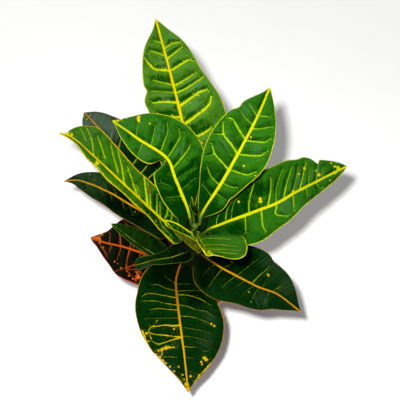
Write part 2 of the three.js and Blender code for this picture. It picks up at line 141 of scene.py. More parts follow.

# The kinds of leaf, with displayed colours, 0 to 255, that are matched. rib_half, vein_half and
# margin_width are in mm, thin is the colour of the faintest side veins and sheen that of the painted
# sheen. rib_foot is the share of the blade over which the midrib turns from the stalk's colour to its own.
# fleck and halo are how much of each the blade gets, sheen_share how much painted sheen, relief how
# strongly the painted light and shade of its swells show, and broken how far its side veins break up.
LOOKS = {
    "golden": {
        "dark": (14, 76, 2), "light": (90, 150, 38), "sheen": (104, 156, 88), "sheen_share": 0.3,
        "rib": (250, 228, 3), "rib_half": 1.95, "rib_foot": 0.04, "relief": 0.75, "halo": 0.5,
        "vein": (222, 236, 8), "thin": (150, 202, 20), "vein_half": 0.62, "broken": 0.5,
        "splash": (240, 224, 8), "margin": (214, 216, 20), "margin_width": 0.75, "fleck": 0.9,
        "gloss": 0.15, "stalk": (150, 176, 50), "under": (122, 150, 58), "under_rib": (202, 212, 90),
    },
    "lemon": {
        "dark": (2, 62, 2), "light": (52, 124, 20), "sheen": (88, 140, 78), "sheen_share": 0.3,
        "rib": (236, 236, 8), "rib_half": 1.9, "rib_foot": 0.05, "relief": 0.6, "halo": 0.35,
        "vein": (184, 226, 10), "thin": (122, 186, 16), "vein_half": 0.56, "broken": 0.5,
        "splash": (236, 226, 12), "margin": (206, 216, 24), "margin_width": 0.75, "fleck": 0.4,
        "gloss": 0.12, "stalk": (140, 172, 40), "under": (122, 150, 58), "under_rib": (202, 212, 90),
    },
    "streaked": {
        "dark": (2, 60, 2), "light": (64, 128, 16), "sheen": (108, 146, 76), "sheen_share": 0.2,
        "rib": (234, 214, 10), "rib_half": 1.6, "rib_foot": 0.1, "relief": 0.45, "halo": 0.55,
        "vein": (192, 218, 12), "thin": (128, 176, 16), "vein_half": 0.55, "broken": 0.9,
        "splash": (240, 226, 16), "margin": (226, 198, 14), "margin_width": 0.9, "fleck": 0.9,
        "gloss": 0.15, "stalk": (110, 140, 44), "under": (120, 144, 52), "under_rib": (202, 204, 84),
    },
    "raised": {
        "dark": (18, 78, 2), "light": (60, 138, 10), "sheen": (90, 144, 44), "sheen_share": 0.2,
        "rib": (220, 222, 10), "rib_half": 1.5, "rib_foot": 0.1, "relief": 0.2, "halo": 0.4,
        "vein": (220, 240, 12), "thin": (150, 198, 14), "vein_half": 0.6, "broken": 0.6,
        "splash": (255, 248, 10), "margin": (234, 234, 12), "margin_width": 1.1, "fleck": 0.4,
        "gloss": 0.15, "stalk": (150, 170, 48), "under": (100, 112, 4), "under_rib": (146, 152, 16),
    },
    # The slip's dark green is partly its own and partly painted shade, deep among the upper leaves.
    "slip": {
        "dark": (1, 40, 2), "light": (8, 62, 6), "sheen": (40, 86, 30), "sheen_share": 0.2,
        "rib": (206, 220, 16), "rib_half": 0.5, "rib_foot": 0.1, "relief": 0.2, "halo": 0.1,
        "vein": (60, 108, 16), "thin": (34, 84, 12), "vein_half": 0.5, "broken": 0.2,
        "splash": (150, 176, 24), "margin": (110, 150, 18), "margin_width": 0.35, "fleck": 0.1,
        "gloss": 0.12, "stalk": (40, 72, 16), "under": (30, 60, 20), "under_rib": (110, 140, 40),
    },
    "shaded": {
        "dark": (2, 36, 6), "light": (44, 76, 36), "sheen": (90, 110, 92), "sheen_share": 0.9,
        "rib": (218, 142, 26), "rib_half": 1.2, "rib_foot": 0.2, "relief": 0.3, "halo": 0.2,
        "vein": (166, 190, 16), "thin": (96, 128, 30), "vein_half": 0.5, "broken": 0.5,
        "splash": (196, 196, 26), "margin": (150, 116, 36), "margin_width": 0.45, "fleck": 0.2,
        "gloss": 0.15, "stalk": (96, 84, 40), "under": (92, 108, 58), "under_rib": (196, 150, 70),
    },
    "deep": {
        "dark": (0, 6, 0), "light": (24, 62, 6), "sheen": (40, 74, 28), "sheen_share": 0.2,
        "rib": (136, 150, 26), "rib_half": 0.7, "rib_foot": 0.1, "relief": 0.15, "halo": 0.1,
        "vein": (34, 64, 10), "thin": (22, 50, 8), "vein_half": 0.5, "broken": 0.5,
        "splash": (90, 110, 30), "margin": (84, 116, 26), "margin_width": 0.4, "fleck": 0.05,
        "gloss": 0.15, "stalk": (30, 46, 14), "under": (56, 80, 30), "under_rib": (110, 132, 48),
    },
    "dark": {
        "dark": (0, 18, 0), "light": (10, 54, 12), "sheen": (52, 84, 48), "sheen_share": 0.5,
        "rib": (228, 160, 16), "rib_half": 1.35, "rib_foot": 0.2, "relief": 0.15, "halo": 0.15,
        "vein": (156, 178, 12), "thin": (70, 104, 14), "vein_half": 0.42, "broken": 1.0,
        "splash": (196, 192, 20), "margin": (182, 124, 24), "margin_width": 0.4, "fleck": 0.2,
        "gloss": 0.1, "stalk": (110, 76, 28), "under": (80, 88, 50), "under_rib": (196, 132, 64),
    },
    "gilded": {
        "dark": (0, 20, 0), "light": (6, 58, 8), "sheen": (54, 84, 48), "sheen_share": 0.45,
        "rib": (252, 194, 12), "rib_half": 1.45, "rib_foot": 0.5, "relief": 0.12, "halo": 0.15,
        "vein": (242, 214, 12), "thin": (72, 124, 16), "vein_half": 0.42, "broken": 0.7,
        "splash": (252, 206, 12), "margin": (226, 164, 18), "margin_width": 0.65, "fleck": 0.3,
        "gloss": 0.1, "stalk": (176, 100, 24), "under": (80, 88, 50), "under_rib": (196, 132, 64),
    },
    "ember": {
        "dark": (0, 2, 0), "light": (12, 20, 8), "sheen": (46, 44, 34), "sheen_share": 0.3,
        "rib": (234, 100, 28), "rib_half": 1.5, "rib_foot": 0.35, "relief": 0.12, "halo": 0.15,
        "vein": (208, 84, 22), "thin": (112, 48, 14), "vein_half": 0.48, "broken": 0.6,
        "splash": (242, 118, 40), "margin": (208, 40, 20), "margin_width": 0.8, "fleck": 0.18,
        "gloss": 0.06, "stalk": (128, 36, 20), "under": (112, 44, 36), "under_rib": (206, 84, 48),
    },
}
SCORCH = (118, 62, 22)  # of dry spots

# The leaves, from the top of the plant down. Their shapes are those of the frame's solids:
#   root    the way that the leaf leaves the stem, in degrees, and its height there
#   stalk   the stalk's length
#   spine   the points that its midrib passes
#   left    half-widths at the stations between the blade's foot and its tip, and right the same
#   fold    how many degrees each half is raised, and twist how that changes along the blade
#   wave    height and number of its waves
#   notches cuts in its edge: side, place along the blade, depth as a share, and spread
# Besides them, a leaf may hold:
#   veins   its coloured side veins where the photograph shows them, for each half of the blade:
#           strength and the course from the midrib out, in the photograph's pixels
#   spots   coloured splashes: place in the photograph's pixels, and radius in mm
#   sheen   where a dull sheen is painted on, shade where another leaf's shade is painted on it, and
#           scorch where it is dry: each like spots
#   plain   where the photograph doesn't show the leaf, side veins laid out by rule: side, from and
#           to as places along the blade, how many, and strength
#   gloom   how much painted shade it gets near the stem, and lift how much is added to its painted light
LEAVES = {
    "leaf_01_tall_back": {
        "look": "golden", "root": (100, 251), "stalk": 18, "fold": (14, 10), "wave": (1.5, 4),
        "spine": [(6, 26, 268), (4, 52, 284), (-4, 98, 300), (-16, 146, 312), (-32, 207, 320)],
        "left": (9, 18, 31, 31, 29.4, 21, 5.4), "right": (9, 19, 40, 43.7, 31.3, 21.9, 6.9),
        "notches": [("left", 0.635, 0.08, 0.022), ("left", 0.575, -0.1, 0.035)],
        "veins": {"left": [
            (0.8, (160, 44), (154, 41)), (0.9, (163.7, 57), (157, 53), (150, 51)),
            (1.5, (168.7, 70.6), (157.5, 70), (152, 67.5), (146, 60)), (0.8, (172, 85.6), (155, 81)),
            (0.6, (175, 93), (151, 91)), (1.3, (177, 102.7), (162.5, 102), (154, 103)),
            (1.3, (180, 117.7), (170, 117), (160, 116)),
        ], "right": [
            (1, (166, 49), (172, 44), (179, 42.5)), (1, (169, 59), (175, 53), (181, 48)),
            (1.1, (172.5, 70.6), (187.5, 60.6), (193, 61)), (1, (176, 85.6), (185, 80), (194, 74)),
            (1, (179.4, 92.5), (187.5, 88), (202, 78)), (1.6, (181, 106), (190, 99), (199, 92.5), (206, 90)),
            (1.7, (185.6, 125), (196, 116), (209, 105), (211, 97.5)),
            (1.5, (194, 138), (202.5, 134), (210, 129)),
        ]},
        "spots": [(199, 142.7, 1.4), (201.5, 142.7, 1.4), (155.5, 19, 1.6)],
        "sheen": [(196, 88, 10), (166, 100, 9), (166, 64, 8), (197, 106, 9), (172, 35, 7)],
        "shade": [(168, 122, 5), (190, 128, 5)],
        "plain": [("left", 0.05, 0.3, 4, 1), ("right", 0.05, 0.2, 3, 1)],
    },
    "leaf_02_bent_left": {
        "look": "lemon", "root": (120, 264), "stalk": 10, "fold": (10, 12), "wave": (1.2, 4),
        "spine": [(1, 13, 282), (-10, 35, 302), (-19, 53, 314), (-46, 71, 318), (-74, 96, 308)],
        "left": (11, 17, 20.5, 16, 16, 9, 2.2), "right": (3.5, 12, 28, 36, 33, 22.5, 7),
        "notches": [("left", 0.495, 1, 0.035), ("left", 0.6, -0.12, 0.05)],
        "veins": {"right": [
            (0.5, (137.5, 135.6), (139, 122.5)), (0.5, (153, 144), (155.6, 126)),
            (0.6, (162, 150), (166, 137.5), (168, 130), (167, 124)),
            (0.6, (168, 157.5), (175, 146), (180, 137.5), (179, 131)),
            (0.75, (173, 168), (181, 159), (190, 146)), (0.35, (177, 180), (195, 166)),
            (0.35, (180.6, 190.6), (194, 179)), (0.4, (188, 207), (192, 203)),
        ], "left": [
            (0.5, (143, 142.5), (139, 152.5)), (0.4, (136, 134), (131, 137.5)),
            (0.4, (169, 185.6), (162.5, 183)), (0.4, (179, 198), (167.5, 197.5)),
        ]},
        "spots": [
            (139, 117, 1.7), (139, 119, 1.8), (139, 121, 1.6), (114, 121, 1.8), (118, 120.6, 1.6),
            (122, 119.8, 1.4), (127, 118.6, 1.1), (150, 124, 0.9),
        ],
        "scorch": [(142, 139.5, 0.9)],
        "sheen": [(146, 150, 10), (160, 132, 9), (180, 150, 8)],
        "shade": [(193, 205, 12), (197, 182, 8)],
    },
    "leaf_03_right_top": {
        "look": "lemon", "root": (50, 270), "stalk": 16, "fold": (12, 8), "wave": (1.2, 4), "gloom": 0.5,
        "lift": 0.15,
        "spine": [(17, 6, 288), (37, 30, 316), (57, 62, 334), (70, 87, 340), (82, 116, 340)],
        "left": (5, 13, 24.5, 31.5, 28.5, 17, 4.5), "right": (6.5, 14.5, 19.4, 29, 25, 14, 4.7),
        "notches": [("left", 0.78, 0.11, 0.03), ("right", 0.24, 0.08, 0.04)],
        "veins": {"left": [
            (0.7, (255.6, 116), (249, 104)), (0.6, (252, 125), (245, 118), (240, 110.6)),
            (1.1, (244, 139), (239, 130), (233, 120), (228, 118)),
            (1.25, (237, 154), (231, 144), (224, 135), (223, 124)), (0.7, (224, 135), (215, 134)),
            (1.1, (229, 170), (221, 161), (215, 154), (212, 145)), (0.5, (215, 154), (208, 156)),
            (0.7, (219, 185), (211, 176), (207, 166)), (0.5, (210.6, 196), (204, 186)),
        ], "right": [
            (0.8, (260.6, 117), (269, 117)), (0.8, (252, 129), (260, 129), (271, 127)),
            (0.9, (246, 141), (264, 142.5), (269, 140)), (1, (239, 155), (259, 156), (266, 152.5)),
            (0.9, (231, 170.6), (240, 173), (247.5, 175), (255, 172.5)),
            (0.6, (222.5, 183), (231, 187), (236, 187.5)), (0.5, (215, 192.5), (225, 199)),
        ]},
        "spots": [(251, 137.5, 1.1), (244, 166, 0.9), (255.6, 175.6, 0.9)],
        "sheen": [(246, 108, 10), (226, 142, 9), (256, 148, 8)],
        "shade": [(205, 200, 11), (201, 176, 6)],
    },
    "leaf_04_far_right": {
        "look": "lemon", "root": (-15, 254), "stalk": 13, "fold": (8, 8), "wave": (1.2, 5),
        "spine": [(27, -3, 266), (60, 5, 282), (89, 14, 290), (111, 27, 290), (165, 60, 276)],
        "left": (12, 26, 37, 35, 31, 19.5, 9.5), "right": (14, 27, 30.5, 20, 13.5, 9, 3.5),
        "notches": [("left", 0.83, 0.25, 0.015), ("left", 0.775, -0.13, 0.035)],
        "veins": {"left": [
            (0.9, (249, 213), (249, 202.5), (252, 190), (255, 180)),
            (1, (267.5, 207), (270, 195), (270.6, 179)), (0.6, (274, 200), (276, 191), (282.5, 170)),
            (0.9, (283, 199), (286, 186), (291, 169)), (0.6, (292, 193), (295, 184), (298, 167.5)),
            (0.9, (299, 190), (302.5, 177.5), (305.6, 163)), (0.6, (307, 183), (309, 167.5)),
            (0.6, (314.5, 179), (317, 170), (318, 164)), (0.5, (320, 175.5), (322, 168)),
        ], "right": [
            (0.9, (245.6, 217.5), (246, 231)), (1, (262, 211), (262.5, 224), (265.6, 231)),
            (1, (277, 202.5), (275.6, 214), (286, 216)), (0.8, (292.5, 194), (294, 209)),
            (0.7, (305, 186), (307.5, 196)), (0.6, (315, 181), (318.5, 187), (321, 187.5)),
            (0.5, (325, 175.5), (329, 179)),
        ]},
        "spots": [
            (260.6, 199, 1.7), (260.6, 202, 1.7), (239, 202, 1.2), (334.6, 173, 2.1), (338, 168.4, 2.1),
            (304, 168.4, 1.4), (319, 175, 1.6), (315.7, 171, 1.2), (293, 192, 1.5), (298.6, 174.4, 1.2),
            (334.3, 167, 1.3), (336, 162.6, 1.1), (330.6, 163.4, 1), (329.5, 181, 1),
        ],
        "sheen": [(300, 182, 10), (285, 206, 10), (318, 172, 8)],
        "shade": [(216, 221, 12), (232, 208, 10), (246, 202, 8), (256, 190, 8), (236, 232, 10)],
        "plain": [("left", 0.05, 0.2, 3, 0.6)],
    },
    "leaf_05_long_left": {
        "look": "streaked", "root": (195, 236), "stalk": 10, "fold": (25, 12), "wave": (1, 5),
        "spine": [(-10, -3, 250), (-39, 18, 270), (-90, 64, 282), (-119, 93, 274), (-134, 99, 272)],
        "left": (12, 10.5, 7.5, 9, 8, 4, 2.5), "right": (14, 20, 20, 19.5, 23, 23.5, 10),
        "notches": [("right", 0.97, 0.9, 0.03)],
        "veins": {"right": [
            (0.7, (86, 141), (80.6, 129)), (0.9, (97, 153), (92, 141), (87, 129)),
            (0.9, (105, 158), (102, 148), (98, 137)), (0.9, (118, 172), (114, 158), (111, 145)),
            (1, (126, 183), (122, 168), (118, 151)), (1, (138, 197), (133, 183), (128, 168)),
            (0.7, (141, 200), (137, 186)), (1.5, (148, 206), (146, 192), (144, 178)),
            (0.9, (152, 208), (150, 196), (148, 184)), (0.8, (157.5, 214), (157, 196)),
            (0.7, (161, 217), (160, 204)),
        ], "left": [
            (0.8, (157, 218), (164, 232)), (0.7, (163, 226), (172, 237)), (0.6, (170, 230), (180, 240)),
            (2.2, (92, 166), (115, 188), (136, 207), (158, 230), (174, 245)),
        ]},
        "spots": [(97, 163, 2.2), (95, 166, 1.8), (64, 134, 2.2), (68, 134, 2.2), (72, 134.5, 1.6)],
        "scorch": [(149, 188, 1.6), (149.5, 192, 1.8)],
        "shade": [(164, 216, 12), (176, 238, 9), (150, 214, 8), (158, 200, 6)],
        "plain": [("right", 0.05, 0.2, 3, 0.7)],
    },
    "leaf_06_front_raised": {
        "look": "raised", "root": (-60, 270), "stalk": 10, "fold": (-15, 57), "twist": (-12, 0),
        "unfold": 40, "wave": (0.8, 3), "gloom": 0.3,
        "spine": [(11, -19, 290), (17, -40, 325), (21, -57, 352)],
        "left": (15, 28, 38, 42, 40, 33, 18), "right": (3, 6, 9, 10, 10, 8, 4),
        "veins": {"left": [
            (0.7, (199, 235), (210, 234.5), (222, 234.5)), (1, (200, 240), (214, 239), (228, 240)),
            (1.1, (203, 245), (218, 245), (235, 247)), (0.9, (206, 249), (222, 250), (238, 251)),
            (0.9, (212, 252), (235, 254)),
        ]},
        "spots": [(209, 253, 2.2), (211, 256, 1.6)],
        "plain": [("right", 0.1, 0.9, 6, 0.6)],
    },
    "leaf_07_folded_small": {
        "look": "raised", "root": (-75, 222), "stalk": 16, "fold": (108, 48), "wave": (0, 1),
        "spine": [(13, -20, 236), (2, -18, 255), (-10, -10, 269), (-21, 1, 278)],
        "left": (2, 5, 10, 14, 12, 8, 3), "right": (2, 5, 10, 14, 12, 8, 3),
        "plain": [("left", 0.1, 0.9, 7, 0.2), ("right", 0.1, 0.9, 7, 0.2)],
    },
    "leaf_08_upright_slip": {
        "look": "slip", "root": (35, 252), "stalk": 14, "fold": (20, 40), "wave": (0, 1),
        "spine": [(18, 4, 256), (17, 9, 263), (12, 11, 275), (8, 12, 286), (6, 17, 301)],
        "left": (2, 4, 5.5, 5.5, 4, 2, 1), "right": (1.5, 2, 2, 2, 1.5, 1, 0.5),
        "plain": [("left", 0.2, 0.9, 5, 0.4)],
    },
    "leaf_09_left_shaded": {
        "look": "shaded", "root": (135, 218), "stalk": 8, "fold": (8, 8), "wave": (1, 4),
        "spine": [(-12, 21, 234), (-39, 48, 246), (-61, 75, 252), (-86, 105, 250), (-114, 138, 242)],
        "left": (11, 14, 19.5, 25.5, 24.5, 17.8, 8.8), "right": (14, 16, 21, 29.5, 28, 20, 10.5),
        "veins": {"right": [
            (0.6, (110, 141), (112, 132)), (0.9, (118, 150), (120, 143), (121, 137)),
            (1, (131, 166), (136, 160), (139, 156)), (1, (141, 174), (147, 166), (150, 163)),
            (1, (147, 180), (152, 175), (155, 172)),
        ]},
        "spots": [(86, 112, 1.2), (84, 117, 1.1), (87, 120, 0.9), (90, 116, 0.8)],
        "sheen": [(98, 122, 16), (110, 130, 12), (84, 118, 10)],
        "shade": [(118, 150, 12), (136, 166, 12), (150, 176, 12)],
        "plain": [("left", 0.1, 0.9, 9, 0.7), ("right", 0.05, 0.3, 4, 0.8)],
    },
    "leaf_10_left_long_dark": {
        "look": "dark", "root": (160, 202), "stalk": 22, "fold": (10, 8), "wave": (0.8, 4),
        "spine": [
            (-18, 12, 214), (-40, 24, 223), (-61, 35, 228), (-87, 52, 224), (-118, 68, 214), (-138, 70, 208),
        ],
        "left": (14, 16, 17, 16, 14, 9, 2), "right": (6, 15, 19, 19, 17, 11, 3),
        "veins": {"right": [
            (0.5, (94, 186), (91, 178)), (0.5, (107, 191), (104, 183)), (0.6, (118, 197), (113, 188)),
        ], "left": [
            (0.5, (86, 183), (88, 189)), (0.5, (99, 188), (103, 195)), (0.6, (110, 193), (112, 200)),
            (0.6, (122, 200), (124, 208)), (0.5, (130, 205), (132, 213)),
        ]},
        "spots": [
            (90, 175, 0.6), (95, 180, 0.5), (86, 190, 0.5), (94, 195, 0.5), (113, 207, 0.6), (135, 212, 0.6),
        ],
        "sheen": [(84, 176, 14), (98, 182, 12)],
        "shade": [(136, 208, 16), (118, 202, 12)],
        "plain": [("left", 0.05, 0.4, 5, 0.3), ("right", 0.05, 0.4, 5, 0.3)],
    },
    "leaf_11_hidden_right": {
        "look": "shaded", "root": (62, 228), "stalk": 7, "fold": (10, 10), "wave": (0.8, 3),
        "spine": [(23, 20, 246), (42, 36, 256), (61, 59, 262), (73, 84, 262)],
        "left": (9, 13, 18, 20, 17, 11, 4), "right": (7, 13, 18, 20, 17, 11, 4),
        "plain": [("left", 0.2, 0.9, 8, 0.7), ("right", 0.2, 0.9, 8, 0.7)],
    },
    "leaf_12_lower_right": {
        "look": "dark", "root": (-55, 200), "stalk": 16, "fold": (8, 8), "wave": (1, 4),
        "spine": [
            (16, -17, 214), (36, -33, 222), (56, -45, 226), (75, -55, 226), (95, -62, 222), (119, -78, 212),
        ],
        "left": (14, 25, 32, 36, 29, 16, 5), "right": (15, 28.5, 33, 27, 21, 12, 3),
        "veins": {"left": [
            (0.4, (203, 261.6), (207, 257.6)), (0.5, (222, 269), (232, 264), (245.7, 255)),
            (0.6, (237, 275.7), (247, 267.6), (257.9, 259.3)), (1, (253, 281), (260, 275), (268.6, 267)),
            (0.5, (262.9, 286), (266.6, 280), (270.6, 275)), (0.9, (273, 292), (276, 289.4), (280.4, 287)),
        ], "right": [
            (0.5, (215, 264.6), (210, 268), (205, 272.9)), (0.65, (221, 271), (214, 279), (208.6, 287)),
            (0.6, (236, 276.6), (228, 282), (220.7, 288.6)), (0.5, (245, 281), (239, 285), (232.9, 289)),
            (0.5, (255, 285.6), (248, 290), (241.4, 296.4)), (0.6, (258.6, 289), (254.6, 294), (251.4, 301)),
            (0.6, (269, 293), (266.6, 298), (264.3, 303)),
        ]},
        "spots": [(268, 275, 1.5), (232, 262, 1.1), (251, 302, 0.8), (249, 292.5, 0.8)],
        "sheen": [(275, 262, 14), (288, 285, 14), (262, 300, 8)],
        "shade": [(206, 262, 14), (226, 262, 12), (244, 260, 8), (204, 280, 8)],
    },
    "leaf_13_curled_narrow": {
        "look": "deep", "root": (225, 190), "stalk": 10, "fold": (15, 15), "wave": (0.6, 3), "gloom": 0.5,
        "spine": [(-3, -12, 204), (-18, -19, 211), (-36, -22, 211), (-57, -26, 203)],
        "left": (6, 10, 8, 6, 5, 6, 5), "right": (7, 12, 11, 7, 5, 7, 5),
        "plain": [("left", 0.1, 0.9, 7, 0.5), ("right", 0.1, 0.9, 7, 0.5)],
    },
    "leaf_14_left_folded": {
        "look": "deep", "root": (210, 180), "stalk": 20, "fold": (30, 12), "wave": (0.5, 3), "gloom": 0.5,
        "spine": [(-16, -14, 190), (-32, -13, 197), (-46, -6, 201), (-62, 5, 203), (-84, 22, 203)],
        "left": (3, 4, 4.5, 4.5, 4, 3, 1.5), "right": (6, 12, 15, 15, 12, 8, 3),
        "plain": [("right", 0.1, 0.9, 9, 0.5)],
    },
    "leaf_15_front_broad": {
        "look": "gilded", "root": (-120, 164), "stalk": 20, "fold": (6, 6), "wave": (1, 5),
        "spine": [
            (-6, -14, 177), (-12, -36, 186), (-11, -56, 186), (-6, -95, 174), (-3, -116, 163),
            (1, -153, 144),
        ],
        "left": (24, 39, 41, 46.5, 40, 22, 5.5), "right": (20, 35.5, 45, 42.5, 30, 14, 3.5),
        "veins": {"right": [
            (0.4, (176, 284.5), (172.5, 282), (165.6, 277)),
            (0.5, (175.6, 290.8), (167.5, 288.9), (158.8, 285.1), (152, 285)),
            (0.7, (175.6, 298.3), (161, 295), (152.5, 293.5), (146, 294), (142.5, 296)),
            (0.7, (175.6, 305.4), (165, 303.3), (155, 301), (144, 301)),
            (0.75, (175.6, 310.5), (167.5, 309.3), (158.8, 308.5), (150, 309.5)),
            (0.45, (178, 318.3), (162, 318), (147, 318.5)),
            (1.3, (179.4, 325.2), (172.5, 325.8), (166, 325), (157.5, 326), (152, 326.6)),
            (0.9, (152, 326.6), (148.8, 329.5), (149, 332.4)),
            (1.2, (180, 337.6), (170, 335.8), (162.5, 335), (155, 334.4), (149, 332.6)),
            (1.1, (180, 337.6), (172.5, 340), (167.5, 341.4), (158.8, 344), (152.5, 341.5)),
            (1.2, (174, 347.4), (168, 348), (163, 348.6), (157, 350.2)),
            (1.2, (161.4, 349), (162, 354.5), (159.4, 358)), (1.4, (154, 353.5), (158, 357), (165, 362.5)),
            (0.7, (163.8, 357), (169, 356.6), (175, 357.4)),
            (1.6, (142.5, 331), (149, 347), (157, 358), (168, 368), (181, 381)),
        ], "left": [
            (0.35, (180, 283.9), (188, 284), (197.5, 283.9)),
            (0.45, (179.4, 290.8), (188, 290.6), (200, 290.8)),
            (0.7, (179.4, 294.5), (185, 294.9), (192.5, 296.4), (201.3, 299.5), (210, 305)),
            (0.6, (179.4, 304.5), (187.5, 306.4), (196.3, 310), (206.3, 311.4), (212.5, 315.8)),
            (0.6, (180, 315.8), (192.5, 317), (205, 321.4), (210, 323.3)),
            (0.45, (180.6, 327), (192.5, 328.9), (205, 331.4), (212.5, 333.9)),
            (0.45, (182.5, 335.8), (192.5, 337), (200, 338.9), (210, 342)),
            (0.7, (185, 345.8), (190, 347), (195.6, 347)), (0.45, (203, 351), (207, 350.8), (211, 349.4)),
            (0.45, (187.5, 357), (195, 358.3)), (1.2, (213, 362), (203, 371.5), (196, 380), (190, 390)),
        ]},
        "spots": [
            (166, 347.6, 2.2), (162, 349.6, 1.9), (169.4, 347, 1.2), (158.6, 351, 1), (155.6, 354.4, 1.6),
            (159, 357.6, 2.2), (162.6, 360.4, 1.6), (166, 363, 1.1), (150, 350, 1), (170, 366.4, 1.2),
            (174, 371, 1), (208, 366, 1), (199, 377, 1.1), (211.4, 324, 1.1), (214.4, 325.8, 1.2),
            (153.6, 326.2, 1), (148.6, 341, 0.9), (146.5, 333.3, 1.4), (151, 338, 0.8), (204.3, 357.6, 1.9),
            (206.6, 359.4, 1.8), (201.4, 361.6, 1.1), (202, 364, 0.9), (190.6, 375.8, 1.3),
            (199, 374.8, 1.2), (178.6, 366.4, 0.9), (182.5, 374.5, 1), (184, 379, 1), (186.5, 384, 2.6),
            (187.6, 389, 2.6), (157, 320.6, 0.7), (156, 322.6, 0.6), (173.8, 329, 1), (145.5, 319.5, 0.7),
            (150, 336, 0.8),
        ],
        "sheen": [(210, 318, 9), (206, 342, 10), (177, 345, 5), (172, 366, 6), (194, 378, 6)],
        "shade": [(186, 276, 14), (164, 272, 14), (196, 296, 8)],
    },
    "leaf_16_red_left": {
        "look": "ember", "root": (185, 156), "stalk": 22, "fold": (6, 6), "wave": (1, 3),
        "spine": [
            (-14, -12, 166), (-37, -8, 172), (-52, -3, 174), (-74, 5, 171), (-95, 12, 164), (-113, 21, 155),
        ],
        "left": (17, 31, 35, 33, 21, 8.5, 3.5), "right": (14, 27, 35, 38, 29, 12.5, 4),
        "veins": {"right": [
            (0.9, (110, 242), (110, 233.6), (107, 231)), (1.3, (121.4, 244.3), (119.6, 234), (117, 226.4)),
            (0.8, (131.4, 246.4), (130.7, 236.4)), (0.7, (138.6, 248), (138, 243.6)),
        ], "left": [
            (0.9, (112, 243.6), (110.6, 248), (109.3, 252)),
            (0.8, (121.4, 245.7), (119.6, 253), (117, 259.3)),
            (1.3, (130, 249.3), (127.4, 259), (126.4, 269.3), (130.7, 275)),
            (0.8, (139.3, 253.6), (140, 260.7)), (0.9, (147, 256.4), (147.5, 264), (147, 272)),
            (3.4, (94, 237.4), (99, 239), (105, 240.6)), (2.4, (140, 270), (137, 275), (135.5, 281)),
            (1, (101, 246), (105, 252), (107, 257)),
        ]},
        "spots": [
            (94, 237.4, 2.2), (99, 238.6, 2.2), (102, 235, 1.6), (105, 231.4, 1.1), (100, 243, 1.3),
            (97.6, 235, 1.6), (104, 227, 1.1), (103.4, 247.6, 0.9), (129, 276, 1), (133, 279, 1.2),
            (138.4, 277, 2.2), (136, 272, 1.2), (115, 262, 0.9), (121, 268, 0.8), (118, 264, 0.7),
        ],
        "plain": [("left", 0.05, 0.35, 4, 1), ("right", 0.05, 0.5, 6, 1)],
    },
    "leaf_17_lowest_front": {
        "look": "ember", "root": (-80, 130), "stalk": 18, "fold": (8, 8), "wave": (0.8, 3),
        "spine": [(5, -22, 136), (4, -45, 140), (4, -72, 132), (8, -104, 112)],
        "left": (12, 20, 24, 25, 20, 12, 4), "right": (12, 20, 24, 25, 20, 12, 4),
        "plain": [("left", 0.1, 0.9, 9, 1), ("right", 0.1, 0.9, 9, 1)],
    },
    "leaf_18_red_inner": {
        "look": "ember", "root": (160, 138), "stalk": 10, "fold": (8, 8), "wave": (0.8, 3),
        "spine": [(-14, 4, 150), (-32, 12, 158), (-52, 22, 158), (-76, 36, 150)],
        "left": (14, 21, 24, 23, 18, 11, 4), "right": (10, 18, 22, 22, 18, 11, 4),
        "plain": [("left", 0.1, 0.9, 8, 1), ("right", 0.1, 0.9, 8, 1)],
    },
}

# ---------------------------------------------------------------- materials


def linear(colour, gain=1.0):
    """A displayed colour, 0 to 255, as the linear colour that a shader takes."""
    parts = []
    for part in colour:
        share = part / 255
        parts.append(gain * (share / 12.92 if share < 0.04 else ((share + 0.055) / 1.055) ** 2.4))
    return (*parts, 1.0)


# A Mix node has sockets of the same names for each kind of value, and these are those of a colour.
MIX_SHARE, MIX_FIRST, MIX_SECOND, MIX_RESULT = 0, 6, 7, 2


